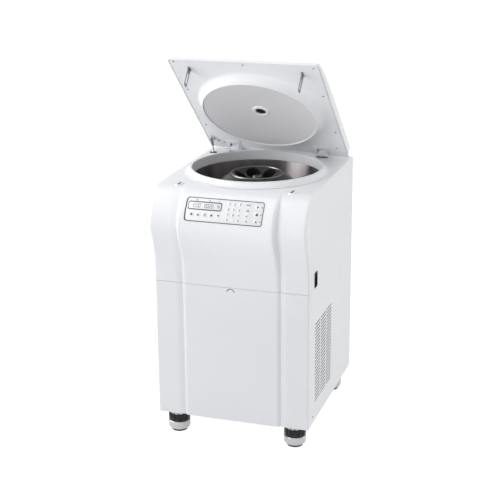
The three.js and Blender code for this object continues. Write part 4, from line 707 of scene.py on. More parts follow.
# %% Slots and screws
def slot_field(places, width, height, start, face, flare, axis):
    """Slots with round ends through a panel. Each widens by flare over its last stretch to the face."""
    sign = 1 if face > start else -1
    stations = [(start, 0.0), (face - sign * flare, 0.0), (face + sign * 0.02, flare),
                (face + sign * 3, flare)]
    outlines = [rectangle(u, v, width, height, 0.49 * height, steps=5) for u, v in places]
    return merged("slots", [carried("slot", outline, stations, axis) for outline in outlines])


def screw_head(centre, radius, out):
    """A low round head with a round socket, looking along out, which is a unit vector."""
    r = radius
    u, v, w = revolved([[CORE, -0.4], [r, -0.4], [r, 0.25 * r], [0.86 * r, 0.42 * r], [0.62 * r, 0.5 * r],
                        [0.55 * r, 0.5 * r], [0.5 * r, 0.1 * r], [CORE, 0.1 * r]], 24)
    out = Vector(out)
    side = out.orthogonal().normalized()
    up = out.cross(side)
    points = np.array(centre) + u[..., None] * side + v[..., None] * up + w[..., None] * out
    return grid_piece("screw", points, wrap_rows=True, wrap_columns=True, angle=40)


VENT_Y, VENT_Z, VENT_LENGTH, VENT_PITCH, VENT_ROWS = 85.0, 71.0, 229.0, 12.35, 24
VENT_HEIGHT = VENT_PITCH * VENT_ROWS
VENT_COLUMNS, VENT_BRIDGE = 3, 7
VENT_STEP = VENT_LENGTH / VENT_COLUMNS
VENT_SLOT, VENT_FLARE = 4.2, 0.35
SWITCH_Y, SWITCH_Z = 86.0, 522.0
SWITCH_WIDTH, SWITCH_HEIGHT, SWITCH_WALL = 32, 49, 3
PANEL_FRONT = RETURN + SEAM
FRAME_TOP = UNDER_DECK - 0.3
SIDE_IN = SIDE - WALL - 0.2

# %% The side panels
panel_outline = fillet([
    (PANEL_FRONT, 0, 1.5), (DEPTH, 0, 1.5), (DEPTH, FRAME_TOP, 1.5), (ROLL_START, FRAME_TOP, 12),
    (PANEL_FRONT, FRAME_TOP - ROLL_DROP * (1 - PANEL_FRONT / ROLL_START), 1.5)])
left_panel = slab("left_panel_sheet", panel_outline, -SIDE, -SIDE + WALL, axis="x", soft=0.9)
place(kept_flat(left_panel), coated_white, "cabinet", "white_coat", "left_side_panel")
right_panel = slab("right_panel_sheet", panel_outline, SIDE - WALL, SIDE, axis="x", soft=0.9)
louvre_places = [
    (VENT_Y + column * VENT_STEP + (VENT_STEP - VENT_BRIDGE) / 2, VENT_Z + row * VENT_PITCH + 1.9)
    for column in range(VENT_COLUMNS) for row in range(VENT_ROWS)]
louvres = slot_field(louvre_places, VENT_STEP - VENT_BRIDGE, VENT_SLOT, SIDE - 9, SIDE, VENT_FLARE, "x")
vent_relief = box_between((SIDE - WALL - 1, VENT_Y - 4, VENT_Z - 4),
                          (SIDE - 0.8, VENT_Y + VENT_LENGTH + 4, VENT_Z + VENT_HEIGHT + 4))
switch_outline = rectangle(SWITCH_Y, SWITCH_Z, SWITCH_WIDTH + 1, SWITCH_HEIGHT + 1, 1)
switch_hole = hole(switch_outline, SIDE - 9, SIDE + 9, "x")
cut(right_panel, vent_relief, louvres, switch_hole, angle=28)
place(kept_flat(right_panel), coated_white, "cabinet", "white_coat", "right_side_panel")

# %% What shows in the seams
split_outline = rectangle(0, SPLIT + SEAM / 2, WIDTH - 12, 9, 1)
split_strip = slab("split_strip", split_outline, notch_front + 8, notch_front + 9.4, axis="y", soft=0.2,
                   angle=45)
place(split_strip, seam_grey, "cabinet", "white_plastic")
# A black plate behind the arc slot of the thumb notch: painted shade, so that the slot reads as the shadow
# under the notch's top edge.
backing = WALL + notch_front
notch_painted_shade = slab("notch_painted_shade", rectangle(0, SPLIT - 13, 38, 18, 3), backing + 0.3, backing + 1.6,
                  axis="y", soft=0.2)
place(notch_painted_shade, black_plastic, "cabinet", "black_plastic")
# Black strips behind the gaps between the cheeks and the side panels: painted shade, the dark line of each
# seam.
strip_outline = rectangle(RETURN + SEAM / 2, DECK / 2 - 8, 9, DECK - 30, 1)
side_seam_shade = [
    slab("seam", strip_outline, *sorted((s * (SIDE_IN - 1.4), s * SIDE_IN)), axis="x", soft=0.2)
    for s in (-1, 1)]
place(merged("side_seam_painted_shade", side_seam_shade, 45), black_rubber, "cabinet", "rubber")
# A black mat behind the vent slots: painted shade, so that the slots show the dark inside of the cabinet.
mat_outline = rectangle(VENT_Y + VENT_LENGTH / 2, VENT_Z + VENT_HEIGHT / 2, VENT_LENGTH + 16,
                        VENT_HEIGHT + 16, 4)
vent_shade_mat = slab("vent_painted_shade", mat_outline, SIDE_IN - 2.6, SIDE_IN - 0.2, axis="x", soft=0.5)
place(vent_shade_mat, black_rubber, "cabinet", "foam")

# %% The rear panel
rear_outline = rectangle(0, FRAME_TOP / 2, WIDTH - 2 * WALL - 0.6, FRAME_TOP, 1.5)
rear_panel = slab("rear_panel_sheet", rear_outline, DEPTH - WALL, DEPTH, axis="y", soft=0.9)
REAR_SLOT, REAR_STEP, REAR_PITCH = 116, 130, 15
rear_places = [
    (column * REAR_STEP - REAR_STEP + REAR_SLOT / 2, 150 + row * REAR_PITCH + 1.9)
    for column in range(2) for row in range(12)]
rear_slots = slot_field(rear_places, REAR_SLOT, 3.8, DEPTH - 9, DEPTH, 0.9, "y")
INLET_X, INLET_Z = 180.0, 96.0
inlet_hole = hole(rectangle(INLET_X, INLET_Z, 50.6, 30.6, 1), DEPTH - 9, DEPTH + 9, "y")
cut(rear_panel, rear_slots, inlet_hole, angle=28)
place(kept_flat(rear_panel), coated_white, "cabinet", "white_coat", "rear_panel")
rear_screw_places = [(x, z) for x in (-255, -85, 85, 255) for z in (20, 805)]
rear_screw_places += [(x, z) for x in (-255, 255) for z in (280, 540)]
rear_screws = [screw_head((x, DEPTH, z), 4, (0, 1, 0)) for x, z in rear_screw_places]
place(merged("rear_screws", rear_screws, 40), screw_steel, "cabinet", "stainless")
side_screws = [screw_head((side * SIDE, 60, 24), 3.6, (side, 0, 0)) for side in (-1, 1)]
place(merged("side_screws", side_screws, 40), screw_steel, "cabinet", "stainless")
print("panels done")

# %% [markdown]
# ## Bowl, collar and rotor
#
# These are turned parts, so each is one profile of radius and height. The collar stands up from the deck
# like the rim of a washing machine's drum. The bowl below it is brushed stainless steel, so what it
# reflects is drawn out into soft upright streaks.


# %% The collar
COLLAR_LOW, COLLAR_INNER, COLLAR_OUTER = DECK - 14, 228, 255
collar_slope = smooth_curve([
    (COLLAR_OUTER, DECK + 1.8), (250.5, DECK + 3.2), (245, DECK + 6), (240.6, DECK + 11.5),
    (237.6, DECK + 15.2)], 30)
collar_profile = np.vstack([
    [COLLAR_INNER, COLLAR_LOW], [249, COLLAR_LOW], [249, DECK + 0.3], [254.6, DECK + 0.3],
    [COLLAR_OUTER, DECK + 0.8],
    collar_slope, [236.6, DECK + 15.6], arc(234.8, COLLAR_TOP - 1.6, 1.6, 0, 90, 5),
    arc(COLLAR_INNER + 2, COLLAR_TOP - 2, 2, 90, 180, 6), [COLLAR_INNER, DECK + 8],
    [COLLAR_INNER, DECK - 4]])
collar = turned("collar_ring", collar_profile, sides=256, angle=32)
place(kept_flat(collar), collar_white, "cabinet", "white_plastic", "bowl_collar")

# %% The bowl
FLANGE_TOP = COLLAR_LOW - 0.3
BOWL_FLOOR = DECK - 243
BOWL_RADIUS, BOWL_CORNER, BOWL_SHEET = 226, 40, 2
BOWL_OUTER = BOWL_RADIUS + BOWL_SHEET
corner_at = (BOWL_RADIUS - BOWL_CORNER, BOWL_FLOOR + BOWL_CORNER)
bowl_profile = np.vstack([
    [30, BOWL_FLOOR - BOWL_SHEET], arc(*corner_at, BOWL_CORNER + BOWL_SHEET, -90, 0, 16),
    [BOWL_OUTER, FLANGE_TOP - 2], [261, FLANGE_TOP - 2], [261, FLANGE_TOP],
    arc(229.5, FLANGE_TOP - 3.5, 3.5, 90, 180, 8), [BOWL_RADIUS, 760], [BOWL_RADIUS, 690],
    arc(*corner_at, BOWL_CORNER, 0, -90, 16), [120, BOWL_FLOOR], [60, BOWL_FLOOR], [30, BOWL_FLOOR]])
bowl = turned("bowl_shell", bowl_profile, sides=256, angle=32)
place(bowl, dark_stainless, "cabinet", "stainless", "chamber_bowl")
boot_profile = np.vstack([
    [22, 558.5], [40, 558.5], arc(44, 566, 6, 250, 110, 8), arc(36, 575, 5, -70, 80, 6), [40, 582.6],
    [22, 582.6]])
boot = turned("boot_bellows", boot_profile, sides=64, angle=40)
place(boot, black_rubber, "cabinet", "rubber", "drive_boot")

# %% The rotor
ROTOR_TOP, ROTOR_LOW = DECK - 6, DECK - 206
CONE_RIM, CONE_HUB, CONE_DROP = 86, 31, 34
POCKETS, POCKET_CIRCLE, POCKET_LEAN = 6, 58, 12


def rotor_cone(radius):
    """The height of the rotor's inner cone: it falls in a straight line from the rim to the hub."""
    return ROTOR_TOP - CONE_DROP * (CONE_RIM - radius) / (CONE_RIM - CONE_HUB)


shoulder = smooth_curve([(95, ROTOR_TOP - 3), (128, ROTOR_TOP - 24), (152, ROTOR_TOP - 46),
                         (162.5, ROTOR_TOP - 60), (165, ROTOR_TOP - 72)], 28)
skirt = smooth_curve([(165, ROTOR_TOP - 76), (165, ROTOR_TOP - 140), (162.5, ROTOR_TOP - 152),
                      (153, ROTOR_TOP - 162)], 20)
rotor_profile = np.vstack([
    [12.3, ROTOR_LOW + 60], [18.3, ROTOR_LOW], [78, ROTOR_LOW], [80, ROTOR_LOW + 1.5], skirt[::-1],
    shoulder[::-1], arc(92, ROTOR_TOP - 3.2, 3.2, 20, 90, 5), arc(88.5, ROTOR_TOP - 2.5, 2.5, 90, 165, 5),
    [80, rotor_cone(80)], [36, rotor_cone(36)], [CONE_HUB, rotor_cone(CONE_HUB)],
    [CORE, rotor_cone(CONE_HUB)],
    [CORE, ROTOR_LOW + 60.3], [12.3, ROTOR_LOW + 60.3]])
rotor = turned("rotor_shell", rotor_profile, sides=160, angle=30)


def pocket_cutter(index):
    """A tube pocket: a round-bottomed cylinder leaning outwards, with a chamfered mouth."""
    lean, turn = radians(POCKET_LEAN), radians(360 / POCKETS * index)
    u, v, w = revolved(np.vstack([
        [CORE, -122], arc(10, -108, 14, -90, 0, 8), [24, -3], [26, 0.5], [26, 60], [CORE, 60]]), 48)
    x, z = u * cos(lean) - w * sin(lean) + POCKET_CIRCLE, u * sin(lean) + w * cos(lean)
    points = np.stack([x * cos(turn) - v * sin(turn), x * sin(turn) + v * cos(turn) + BOWL_Y,
                       z + rotor_cone(POCKET_CIRCLE)], axis=-1)
    return grid_piece("cutter", points, wrap_rows=True, wrap_columns=True)


cut(rotor, *[pocket_cutter(i) for i in range(POCKETS)], angle=30)
place(kept_flat(rotor), rotor_black, "spindle", "rotor_black", "rotor_body")
rim_profile = np.vstack([
    arc(90.6, ROTOR_TOP - 1.2, 3.4, -10, 90, 7), arc(89.4, ROTOR_TOP - 1.2, 3.4, 90, 190, 7),
    [88.5, ROTOR_TOP - 4], [92, ROTOR_TOP - 4.4]])
rim = turned("rotor_rim_band", rim_profile, sides=160, angle=40)
place(rim, rotor_rim, "spindle", "stainless")
NUT_LOW = rotor_cone(CONE_HUB) + 0.3
GRIPS, GRIP_CIRCLE = 12, 17.8
nut_profile = np.vstack([
    [CORE, NUT_LOW], [24, NUT_LOW], arc(22.5, NUT_LOW + 3.5, 1.5, 0, 90, 4), [17.6, NUT_LOW + 5],
    [17, NUT_LOW + 6], arc(14, NUT_LOW + 18.5, 3, 0, 80, 5), [8, NUT_LOW + 22], [7, NUT_LOW + 21.6],
    [6.6, NUT_LOW + 14], [CORE, NUT_LOW + 14]])
nut = turned("rotor_nut_body", nut_profile, sides=64, angle=30)
grips = []
for i in range(GRIPS):
    turn = i / GRIPS * 2 * pi
    centre = (GRIP_CIRCLE * cos(turn), BOWL_Y + GRIP_CIRCLE * sin(turn))
    grips.append(bore(1.6, NUT_LOW + 7, NUT_LOW + 30, centre, sides=16))
cut(nut, *grips, angle=30)
place(nut, nut_steel, "spindle", "dark_steel", "rotor_nut")
print("rotor:", len(rotor.data.polygons), "faces")

# %% [markdown]
# ## The lid
#
# The lid is drawn closed, lying on the collar, and is then turned open about the hinge pins. Its shell is
# lofted along its length: the section keeps its width and grows thin towards the nose.

# %% Opening turn
OPEN = radians(42.4)
HINGE_AXIS = Vector(to_row([0, HINGE_Y, HINGE_Z])[0])
OPENING = Matrix.Translation(HINGE_AXIS) @ Matrix.Rotation(-OPEN, 4, "X") @ Matrix.Translation(-HINGE_AXIS)


def opened(obj):
    """Turns a piece drawn on the closed lid to the place it has on the open lid."""
    obj.data.transform(OPENING)
    return obj


# %% The lid's shell
LID_WIDTH, LID_REAR, LID_LENGTH, LID_HEIGHT, LID_WALL = WIDTH - 16, DEPTH - 9, 587.0, 39.0, 5.0
LID_CORNER, LID_EDGE = 12.0, 12.0
LID_SHARES = np.array([
    [0, 0.8], [0.006, 0.94], [0.02, 1], [0.2, 1], [0.43, 0.995], [0.56, 0.96], [0.69, 0.905], [0.8, 0.82],
    [0.9, 0.675], [0.96, 0.5], [0.98, 0.42], [0.994, 0.3], [1, 0.2]])
lid_line = smooth_curve(LID_SHARES * [LID_LENGTH, LID_HEIGHT], 96)
lid_line[:, 0] = np.clip(np.maximum.accumulate(lid_line[:, 0]), 0, LID_LENGTH)


def lid_sections(inset, spare):
    """Sections across the lid at stations from its rear to its nose. The corner in plan is part of a
    circle: the side draws in by r - sqrt(r^2 - (r - distance to the end)^2)."""
    sections = []
    for along, top_height in lid_line:
        to_end = min(LID_CORNER, along, LID_LENGTH - along)
        narrowing = LID_CORNER - np.sqrt(max(LID_CORNER**2 - (LID_CORNER - to_end) ** 2, 0))
        half = LID_WIDTH / 2 - narrowing - inset
        top = top_height - inset
        radius = max(min(LID_EDGE, 0.8 * top_height) - inset, 0.05)
        at = LID_REAR - np.clip(along, inset, LID_LENGTH - inset)
        angle = np.linspace(0, pi / 2, 9)
        right = np.column_stack([half - radius * (1 - np.sin(angle)), top - radius * (1 - np.cos(angle))])
        foot = [[half, 1.2], [half - 0.35, 0.35], [half - 1.2, 0]] if spare == 0 else [[half, -spare]]
        right = np.vstack([right, foot])
        ring = np.vstack([right[::-1] * [-1, 1], right])
        sections.append(np.column_stack([ring[:, 0], np.full(len(ring), at), LID_UNDER + ring[:, 1]]))
    return np.array(sections)


def lid_body(name, inset, spare):
    """The sections as a closed body: each is a closed ring, and flat ends close the first and last."""
    return grid_piece(name, lid_sections(inset, spare), wrap_columns=True, caps=True, angle=30)


lid_shell = lid_body("lid_shell_skin", 0, 0)
lid_inside = lid_body("cutter", LID_WALL, CLEAR)
notches = [
    box_between((x - 17, LID_REAR - WALL - CLEAR, LID_UNDER - CLEAR),
                (x + 17, LID_REAR + CLEAR, LID_UNDER + 28)) for x in HINGE_PAIR]
port_hole = bore(22.3, LID_UNDER, LID_UNDER + 60)
cut(lid_shell, lid_inside, *notches, port_hole, angle=30)
place(kept_flat(opened(lid_shell)), moulded_white, "lid", "white_plastic", "lid_shell")

# %% [markdown]
# The liner is one surface in polar form about the dish. Near the middle it follows the raised ring, and
# outside the ring it runs flat to the rounded rectangle of the lid's edge.

# %% The liner
PLUG_RIM, RING_END = 206.0, 236
liner_edge = rectangle(0, LID_REAR - LID_LENGTH / 2 - BOWL_Y, LID_WIDTH - 2 * LID_WALL - 3,
                       LID_LENGTH - 2 * LID_WALL - 3, 8, steps=5)
edge_angle = np.arctan2(liner_edge[:, 1], liner_edge[:, 0])
order = np.argsort(edge_angle)
polar = np.unique(np.concatenate([np.linspace(-pi, pi, 289)[:-1], edge_angle]).round(6))


def edge_distance(angles):
    """The distance from the dish's centre to the straight and round stretches of the lid's edge."""
    start = liner_edge[order]
    far = np.roll(start, -1, axis=0)
    found = np.full(len(angles), np.inf)
    ray = np.column_stack([np.cos(angles), np.sin(angles)])
    for a_point, b_point in zip(start, far):
        side = b_point - a_point
        cross = ray[:, 0] * side[1] - ray[:, 1] * side[0]
        with np.errstate(divide="ignore", invalid="ignore"):
            t = (a_point[0] * side[1] - a_point[1] * side[0]) / cross
            s = (a_point[0] * ray[:, 1] - a_point[1] * ray[:, 0]) / cross
        ok = (t > 0) & (s > -1e-6) & (s < 1 + 1e-6)
        found = np.where(ok & (t < found), t, found)
    return found


def liner_row(distance, height):
    """One row round the liner, at a distance from the dish's centre and a height above its plate."""
    return np.stack([np.broadcast_to(distance, polar.shape), np.full_like(polar, height)])


def hinge_pocket(x, reach):
    """The opening for a hinge, to cut with."""
    return hole(rectangle(x, LID_REAR - 10, 34, 46, 3), LID_UNDER - reach, LID_UNDER + reach)


reach = edge_distance(polar)
ring_slope = smooth_curve([
    (206.6, 28.6), (208.6, 22), (211.6, 16.5), (215.2, 10.6), (219, 5.6), (223.4, 1.9), (229, 0.25),
    (RING_END, 0.0)], 36)
ring_under = np.vstack([
    [202.2, 25.4], [202.2, 29.6], arc(204.2, 29.6, 2, 180, 90, 6),
    arc(204.4, 29.4, 2.2, 90, 10, 6), ring_slope])
rows = [liner_row(r, -d) for r, d in ring_under]
rows += [liner_row(RING_END + (reach - 1.2 - RING_END) * share, 0) for share in (0.3, 0.6, 0.9, 0.97)]
rows += [liner_row(reach - out, up) for out, up in ((1.2, 0), (0.35, 0.35), (0, 1.2), (0, 3))]
rows += [liner_row(r, up) for r, up in ((232, 3), (224, 1.0), (213, -13), (205, -22), (202.2, -24))]
rows = np.array(rows)
liner_points = np.stack([
    rows[:, 0] * np.cos(polar), BOWL_Y + rows[:, 0] * np.sin(polar), LID_UNDER + rows[:, 1]], axis=-1)
lid_liner = grid_piece("liner_sheet", liner_points, wrap_rows=True, wrap_columns=True, angle=30)
cut(lid_liner, *[hinge_pocket(x, CLEAR) for x in HINGE_PAIR], angle=30)
place(kept_flat(opened(lid_liner)), liner_white, "lid", "liner_white", "lid_liner")

covers = []
for x in HINGE_PAIR:
    cover_outline = rectangle(x, LID_REAR - 31, 56, 48, 4)
    frame_plate = slab("hinge_cover", cover_outline, LID_UNDER - 2.2, LID_UNDER - 0.2, soft=0.5)
    covers.append(cut(frame_plate, hinge_pocket(x, 9)))
place(opened(merged("hinge_covers", covers, 40)), liner_white, "lid", "liner_white")

liner_screw_places = [
    (-245, 574), (0, 571), (243, 570), (-244, 400), (244, 400), (-244, 160), (244, 160), (-225, 46),
    (-205, 36), (227, 44)]
liner_screws = [screw_head((x, LID_REAR - d, LID_UNDER), 2.9, (0, 0, -1)) for x, d in liner_screw_places]
place(opened(merged("liner_screws", liner_screws, 40)), screw_dark, "lid", "stainless")

# %% The dish and the sight port
DISH_RIM, DISH_EYE, DISH_LOW, DISH_SWELL = PLUG_RIM - 4.3, 22.4, 8.2, 19.4
radius = np.linspace(DISH_EYE, DISH_RIM, 40)
dish_depth = DISH_LOW + DISH_SWELL * (radius / DISH_RIM) ** 2
dish_under = np.column_stack([radius, LID_UNDER - dish_depth])
dish_profile = np.vstack([dish_under, dish_under[::-1] + [0, 2]])
dish = turned("dish_sheet", dish_profile, sides=256, angle=40)
place(opened(dish), dish_grey, "lid", "dish_grey", "lid_dish")

PORT_LOW = LID_UNDER - DISH_LOW - 4
port_profile = np.vstack([
    [19, PORT_LOW + 1], arc(20.5, PORT_LOW + 1.5, 1.5, 180, 270, 4), [26, PORT_LOW],
    arc(27.5, PORT_LOW + 3.5, 3.5, -90, 0, 7), [22, PORT_LOW + 3.6], [22, LID_UNDER + LID_HEIGHT],
    [19, LID_UNDER + LID_HEIGHT], [19, PORT_LOW + 6]])
port = turned("port_bezel", port_profile, sides=96, angle=32)
place(opened(port), moulded_white, "lid", "white_plastic", "sight_port")
glass_low = PORT_LOW + 4
glass_profile = [[CORE, glass_low], [18.4, glass_low], [18.7, glass_low + 0.4], [18.7, glass_low + 3.6],
                 [18.4, glass_low + 4], [CORE, glass_low + 4]]
glass = turned("port_window", glass_profile, sides=64)
place(opened(glass), port_glass, "lid", "clear", "sight_glass")
print("lid done")

# %% [markdown]
# ## Strikers, hinges and the gas strut
#
# Two slotted plates under the lid's nose drop into the deck when it closes, and the latch bolts pass through
# their slots. Two hinges stand in notches at the rear. A gas strut holds the lid open at the left.


# %% Small metal parts
STRIKER_LENGTH, STRIKER_HALF = 68, 1.5
LUG_HALF, EAR_HALF, LEAF_GAP = 7, 15, 0.3


def pin_x(name, radius, left, right, y, z, sides=32):
    """A cylinder along x with eased rims."""
    return slab(name, circle(y, z, radius, sides), left, right, axis="x", soft=0.4)


def lug_outline(y, z, root):
    """A lug that hangs from a root and ends round about a pin at (y, z), as (y, z)."""
    near, far, low = y - LUG_HALF, y + LUG_HALF, z - LUG_HALF
    return fillet([(near, root, 0), (near, low, 6.9), (far, low, 6.9), (far, root, 0)], steps=10)


def striker(x):
    """A plate with a round-ended slot, hanging from a foot under the lid."""
    low, high = LID_UNDER - STRIKER_LENGTH, LID_UNDER - 2
    near, far = SLOT_Y - 10, SLOT_Y + 14
    outline = fillet([(near, low, 5), (far, low, 5), (far, high, 0), (near, high, 0)])
    body = slab("striker", outline, x - STRIKER_HALF, x + STRIKER_HALF, axis="x", soft=0.4)
    cut(body, hole(rectangle(SLOT_Y + 2, low + 28, 15.5, 44, 6, steps=8), x - 9, x + 9, "x"))
    foot = slab("foot", rectangle(x, SLOT_Y + 2, 9, 25, 2), LID_UNDER - 2.3, LID_UNDER - 0.3, soft=0.5)
    return merged("striker_plate", [body, foot], 40)


def hinge_leaf(x):
    """A plate inside the lid, with two lugs that hold the pin on both sides of the ear."""
    top = LID_UNDER + LID_HEIGHT - WALL - 0.3
    rear = LID_REAR - WALL - 12
    parts = [slab("plate", rectangle(x, rear - 26, 46.6, 52, 3), top - 2, top, soft=0.4)]
    lug = lug_outline(HINGE_Y, HINGE_Z, top - 1.8)
    for left in (x - EAR_HALF - LEAF_GAP - 3, x + EAR_HALF + LEAF_GAP):
        parts.append(slab("lug", lug, left, left + 3, axis="x", soft=0.4))
    parts.append(pin_x("pin", 4, x - 20.5, x + 20.5, HINGE_Y, HINGE_Z))
    parts += [pin_x("cap", 6, x + s * 19.6 - 1, x + s * 19.6 + 1, HINGE_Y, HINGE_Z) for s in (-1, 1)]
    return merged("hinge_leaf_plate", parts, 40)


for side, word in ((-1, "left"), (1, "right")):
    plate = opened(striker(side * STRIKER_X))
    place(plate, striker_zinc, "lid", "stainless", f"striker_{word}")
    leaf = opened(hinge_leaf(side * HINGE_X))
    place(leaf, zinc_plate, "lid", "stainless", f"hinge_leaf_{word}")

# %% The hinge beam with its two ears
POST_REAR = DEPTH - WALL - 0.3 - 30
RAIL_HALF = SIDE - WALL - 0.3 - 30 - 0.3


def hinge_ear(x):
    """A bracket that rises through the deck and ends in a round eye about the pin."""
    front_y, rear_y = HINGE_Y - 8, HINGE_Y + 8 + 18 - 0.6
    outline = fillet([(front_y, FRAME_TOP - 25, 0), (rear_y, FRAME_TOP - 25, 0), (rear_y, DECK + 4, 5),
                      (HINGE_Y + 8, HINGE_Z - 6, 6), (HINGE_Y + 8, HINGE_Z + 8, 7.9),
                      (front_y, HINGE_Z + 8, 7.9)], steps=10)
    ear = slab("ear", outline, x - EAR_HALF, x + EAR_HALF, axis="x", soft=1.0)
    return cut(ear, hole(circle(HINGE_Y, HINGE_Z, 4.4), x - 30, x + 30, "x"))


beam = slab("beam", rectangle(0, (POST_REAR + DEPTH - 3.3) / 2, 2 * RAIL_HALF, 30, 2), FRAME_TOP - 25,
            FRAME_TOP, soft=1.0)
beam = merged("hinge_beam_bar", [beam, hinge_ear(-HINGE_X), hinge_ear(HINGE_X)], 35)
place(beam, coated_white, "cabinet", "zinc_plate", "hinge_beam")

# Black frames on the deck in front of the hinge ears: painted shadow, standing in for the dark gap under the
# lid's rear edge.
painted_shadow_frames = [slab("painted_shadow_frame", rectangle(x, HINGE_Y - 13.5, 46, 9, 3), DECK - 0.1, DECK + 1.6, soft=0.5)
           for x in HINGE_PAIR]
place(merged("hinge_painted_shadows", painted_shadow_frames, 40), matte_black, "cabinet", "rubber")

# %% The gas strut
STRUT_TOP_Y, STRUT_TOP_Z = LID_REAR - 70, LID_UNDER - 10
ROD_LENGTH, TUBE_LENGTH, TUBE_RADIUS, TUBE_BORE, EYE_HALF = 150, 168, 9, 5, 4.0
upper = np.array(OPENING @ Vector(to_row([STRUT_X, STRUT_TOP_Y, STRUT_TOP_Z])[0]))
lower = to_row([STRUT_X, DEPTH - 48, DECK - 188])[0]
strut_length = np.linalg.norm(lower - upper) / MM
strut_lean = np.arctan2(lower[1] - upper[1], upper[2] - lower[2])
STRUT_TURN = Matrix.Translation(Vector(upper)) @ Matrix.Rotation(strut_lean, 4, "X")
STRUT_TURN = STRUT_TURN @ Matrix.Translation(-Vector(ORIGIN))


def along_strut(obj):
    """Turns a piece drawn straight down from the drawings' origin to the strut's line."""
    obj.data.transform(STRUT_TURN)
    return obj


rod_neck = turned("neck", [[CORE, -24], [3.9, -24], [4.6, -23.2], [4.6, -6], [CORE, -4]], centre=(0, 0),
                  sides=6, angle=20)
rod_eye = pin_x("eye", 6, -EYE_HALF, EYE_HALF, 0, 0, sides=48)
cut(rod_eye, hole(circle(0, 0, 3.3), -9, 9, "x"))
rod_end = along_strut(merged("strut_rod_end", [rod_neck, rod_eye], 35))
place(rod_end, dark_enamel, "strut_rod", "stainless")
rod = turned("strut_rod_bar", [
    [CORE, -ROD_LENGTH], [3.6, -ROD_LENGTH], [4, -ROD_LENGTH + 0.4], [4, -9], [3.6, -8], [CORE, -8]],
    centre=(0, 0), sides=48)
place(along_strut(rod), bright_steel, "strut_rod", "stainless", "strut_rod")
tube_top = -strut_length + TUBE_LENGTH
tube_low = -strut_length + 5.8
tube_profile = np.vstack([
    [TUBE_BORE, tube_low + 20], [CORE, tube_low + 20], [CORE, tube_low], [7.5, tube_low],
    [TUBE_RADIUS, tube_low + 2], [TUBE_RADIUS, tube_top - 2.5], arc(6.8, tube_top - 2.2, 2.2, 0, 90, 6),
    [TUBE_BORE, tube_top]])
tube = turned("tube", tube_profile, centre=(0, 0), sides=64)
tube_eye = pin_x("eye", 11.5, -EYE_HALF, EYE_HALF, 0, -strut_length, sides=48)
cut(tube_eye, hole(circle(0, -strut_length, 8.3, 40), -9, 9, "x"))
tube = along_strut(merged("strut_tube_body", [tube, tube_eye], 35))
place(tube, dark_enamel, "strut_tube", "dark_steel", "strut_tube")

bracket_right = STRUT_X + EYE_HALF + 0.3 + 3
foot = slab("foot", rectangle(bracket_right - 7, STRUT_TOP_Y, 14, 26, 2.5), LID_UNDER - 1.8,
            LID_UNDER - 0.3, soft=0.4)
cheek = slab("cheek", lug_outline(STRUT_TOP_Y, STRUT_TOP_Z, LID_UNDER - 0.6), bracket_right - 3,
             bracket_right, axis="x", soft=0.5)
eye_left = STRUT_X - EYE_HALF
axle = pin_x("axle", 3, eye_left - 1, bracket_right + 1, STRUT_TOP_Y, STRUT_TOP_Z)
clip = pin_x("clip", 5, eye_left - 2.4, eye_left - 0.8, STRUT_TOP_Y, STRUT_TOP_Z)
place(opened(merged("strut_clip", [axle, clip], 35)), dark_enamel, "lid", "dark_steel")
bracket = opened(merged("strut_bracket_plate", [foot, cheek], 35))
place(bracket, hinge_grey, "lid", "dark_steel", "strut_bracket")
print("strut length:", round(float(strut_length), 1), "mm")

# %% The latch bolts
BOLT_LOW = LID_UNDER - STRIKER_LENGTH + 8 + 6
for side, word in ((-1, "left"), (1, "right")):
    start = STRIKER_X + 2 + 5
    bolt_outline = fillet([(SLOT_Y - 2, BOLT_LOW, 1), (SLOT_Y + 6, BOLT_LOW, 1),
                           (SLOT_Y + 6, BOLT_LOW + 8, 1), (SLOT_Y - 2, BOLT_LOW + 8, 1)])
    ends = sorted((side * (start + 0.3), side * (start + 27.3)))
    bolt = slab("latch_bolt_bar", bolt_outline, *ends, axis="x", soft=0.8)
    place(bolt, bright_steel, f"latch_bolt_{word}", "stainless", f"latch_bolt_{word}")

# %% [markdown]
# ## The control panel
#
# A printed foil lies on the raised middle of the front and follows its curve. What is printed on it is laid
# out in x and height, and every point is lifted on to the curved front along the surface normal.

# %% Placing things on the front
front_rows = with_normals(front)
raised = np.column_stack([
    front_rows[:, 0] + front_rows[:, 3] * RAISE * front_rows[:, 2],
    front_rows[:, 1] + front_rows[:, 4] * RAISE * front_rows[:, 2], front_rows[:, 3], front_rows[:, 4]])
raised = raised[np.argsort(raised[:, 1])]


def on_front(x, z, lift):
    """Points of the raised front at heights z, moved outwards by lift along the surface normal."""
    x, z, lift = np.broadcast_arrays(np.asarray(x, float), z, lift)
    y, ny, nz = (np.interp(z, raised[:, 1], raised[:, k]) for k in (0, 2, 3))
    return np.stack([x, y + ny * lift, z + nz * lift], axis=-1)


def front_plate(name, x, z, width, height, radius, low, high, soft=0.2, rows=28):
    """A plate with round corners on the front. At a distance d from its upper or lower edge the corner
    draws each side in by r - sqrt(r^2 - (r - d)^2)."""
    v = -height / 2 * np.cos(np.linspace(0, pi, rows))
    v = np.unique(np.concatenate([v, np.linspace(-height / 2, height / 2, 14)]).round(4))
    near = np.minimum(height / 2 - np.abs(v), radius)
    half = width / 2 - radius + np.sqrt(np.maximum(radius**2 - (radius - near) ** 2, 0))
    half = np.maximum(half, 3 * soft)[:, None]
    side = np.array([[0, low], [0, high - soft], [soft / 3, high - soft / 3], [soft, high]])
    offset = np.concatenate([side[:, 0], side[::-1, 0]])
    lift = np.concatenate([side[:, 1], side[::-1, 1]])[None, :]
    sign = np.repeat([-1.0, 1.0], len(side))[None, :]
    points = on_front(x + sign * (half - offset[None, :]), z + v[:, None], lift)
    return grid_piece(name, points, wrap_columns=True, caps=True, angle=40)


def front_shape(name, outline, low, high):
    """A small flat shape on the front, from its outline in (x, z)."""
    rows = [on_front(outline[:, 0], outline[:, 1], lift) for lift in (low, high)]
    return grid_piece(name, np.array(rows), wrap_columns=True, caps=True, angle=40)


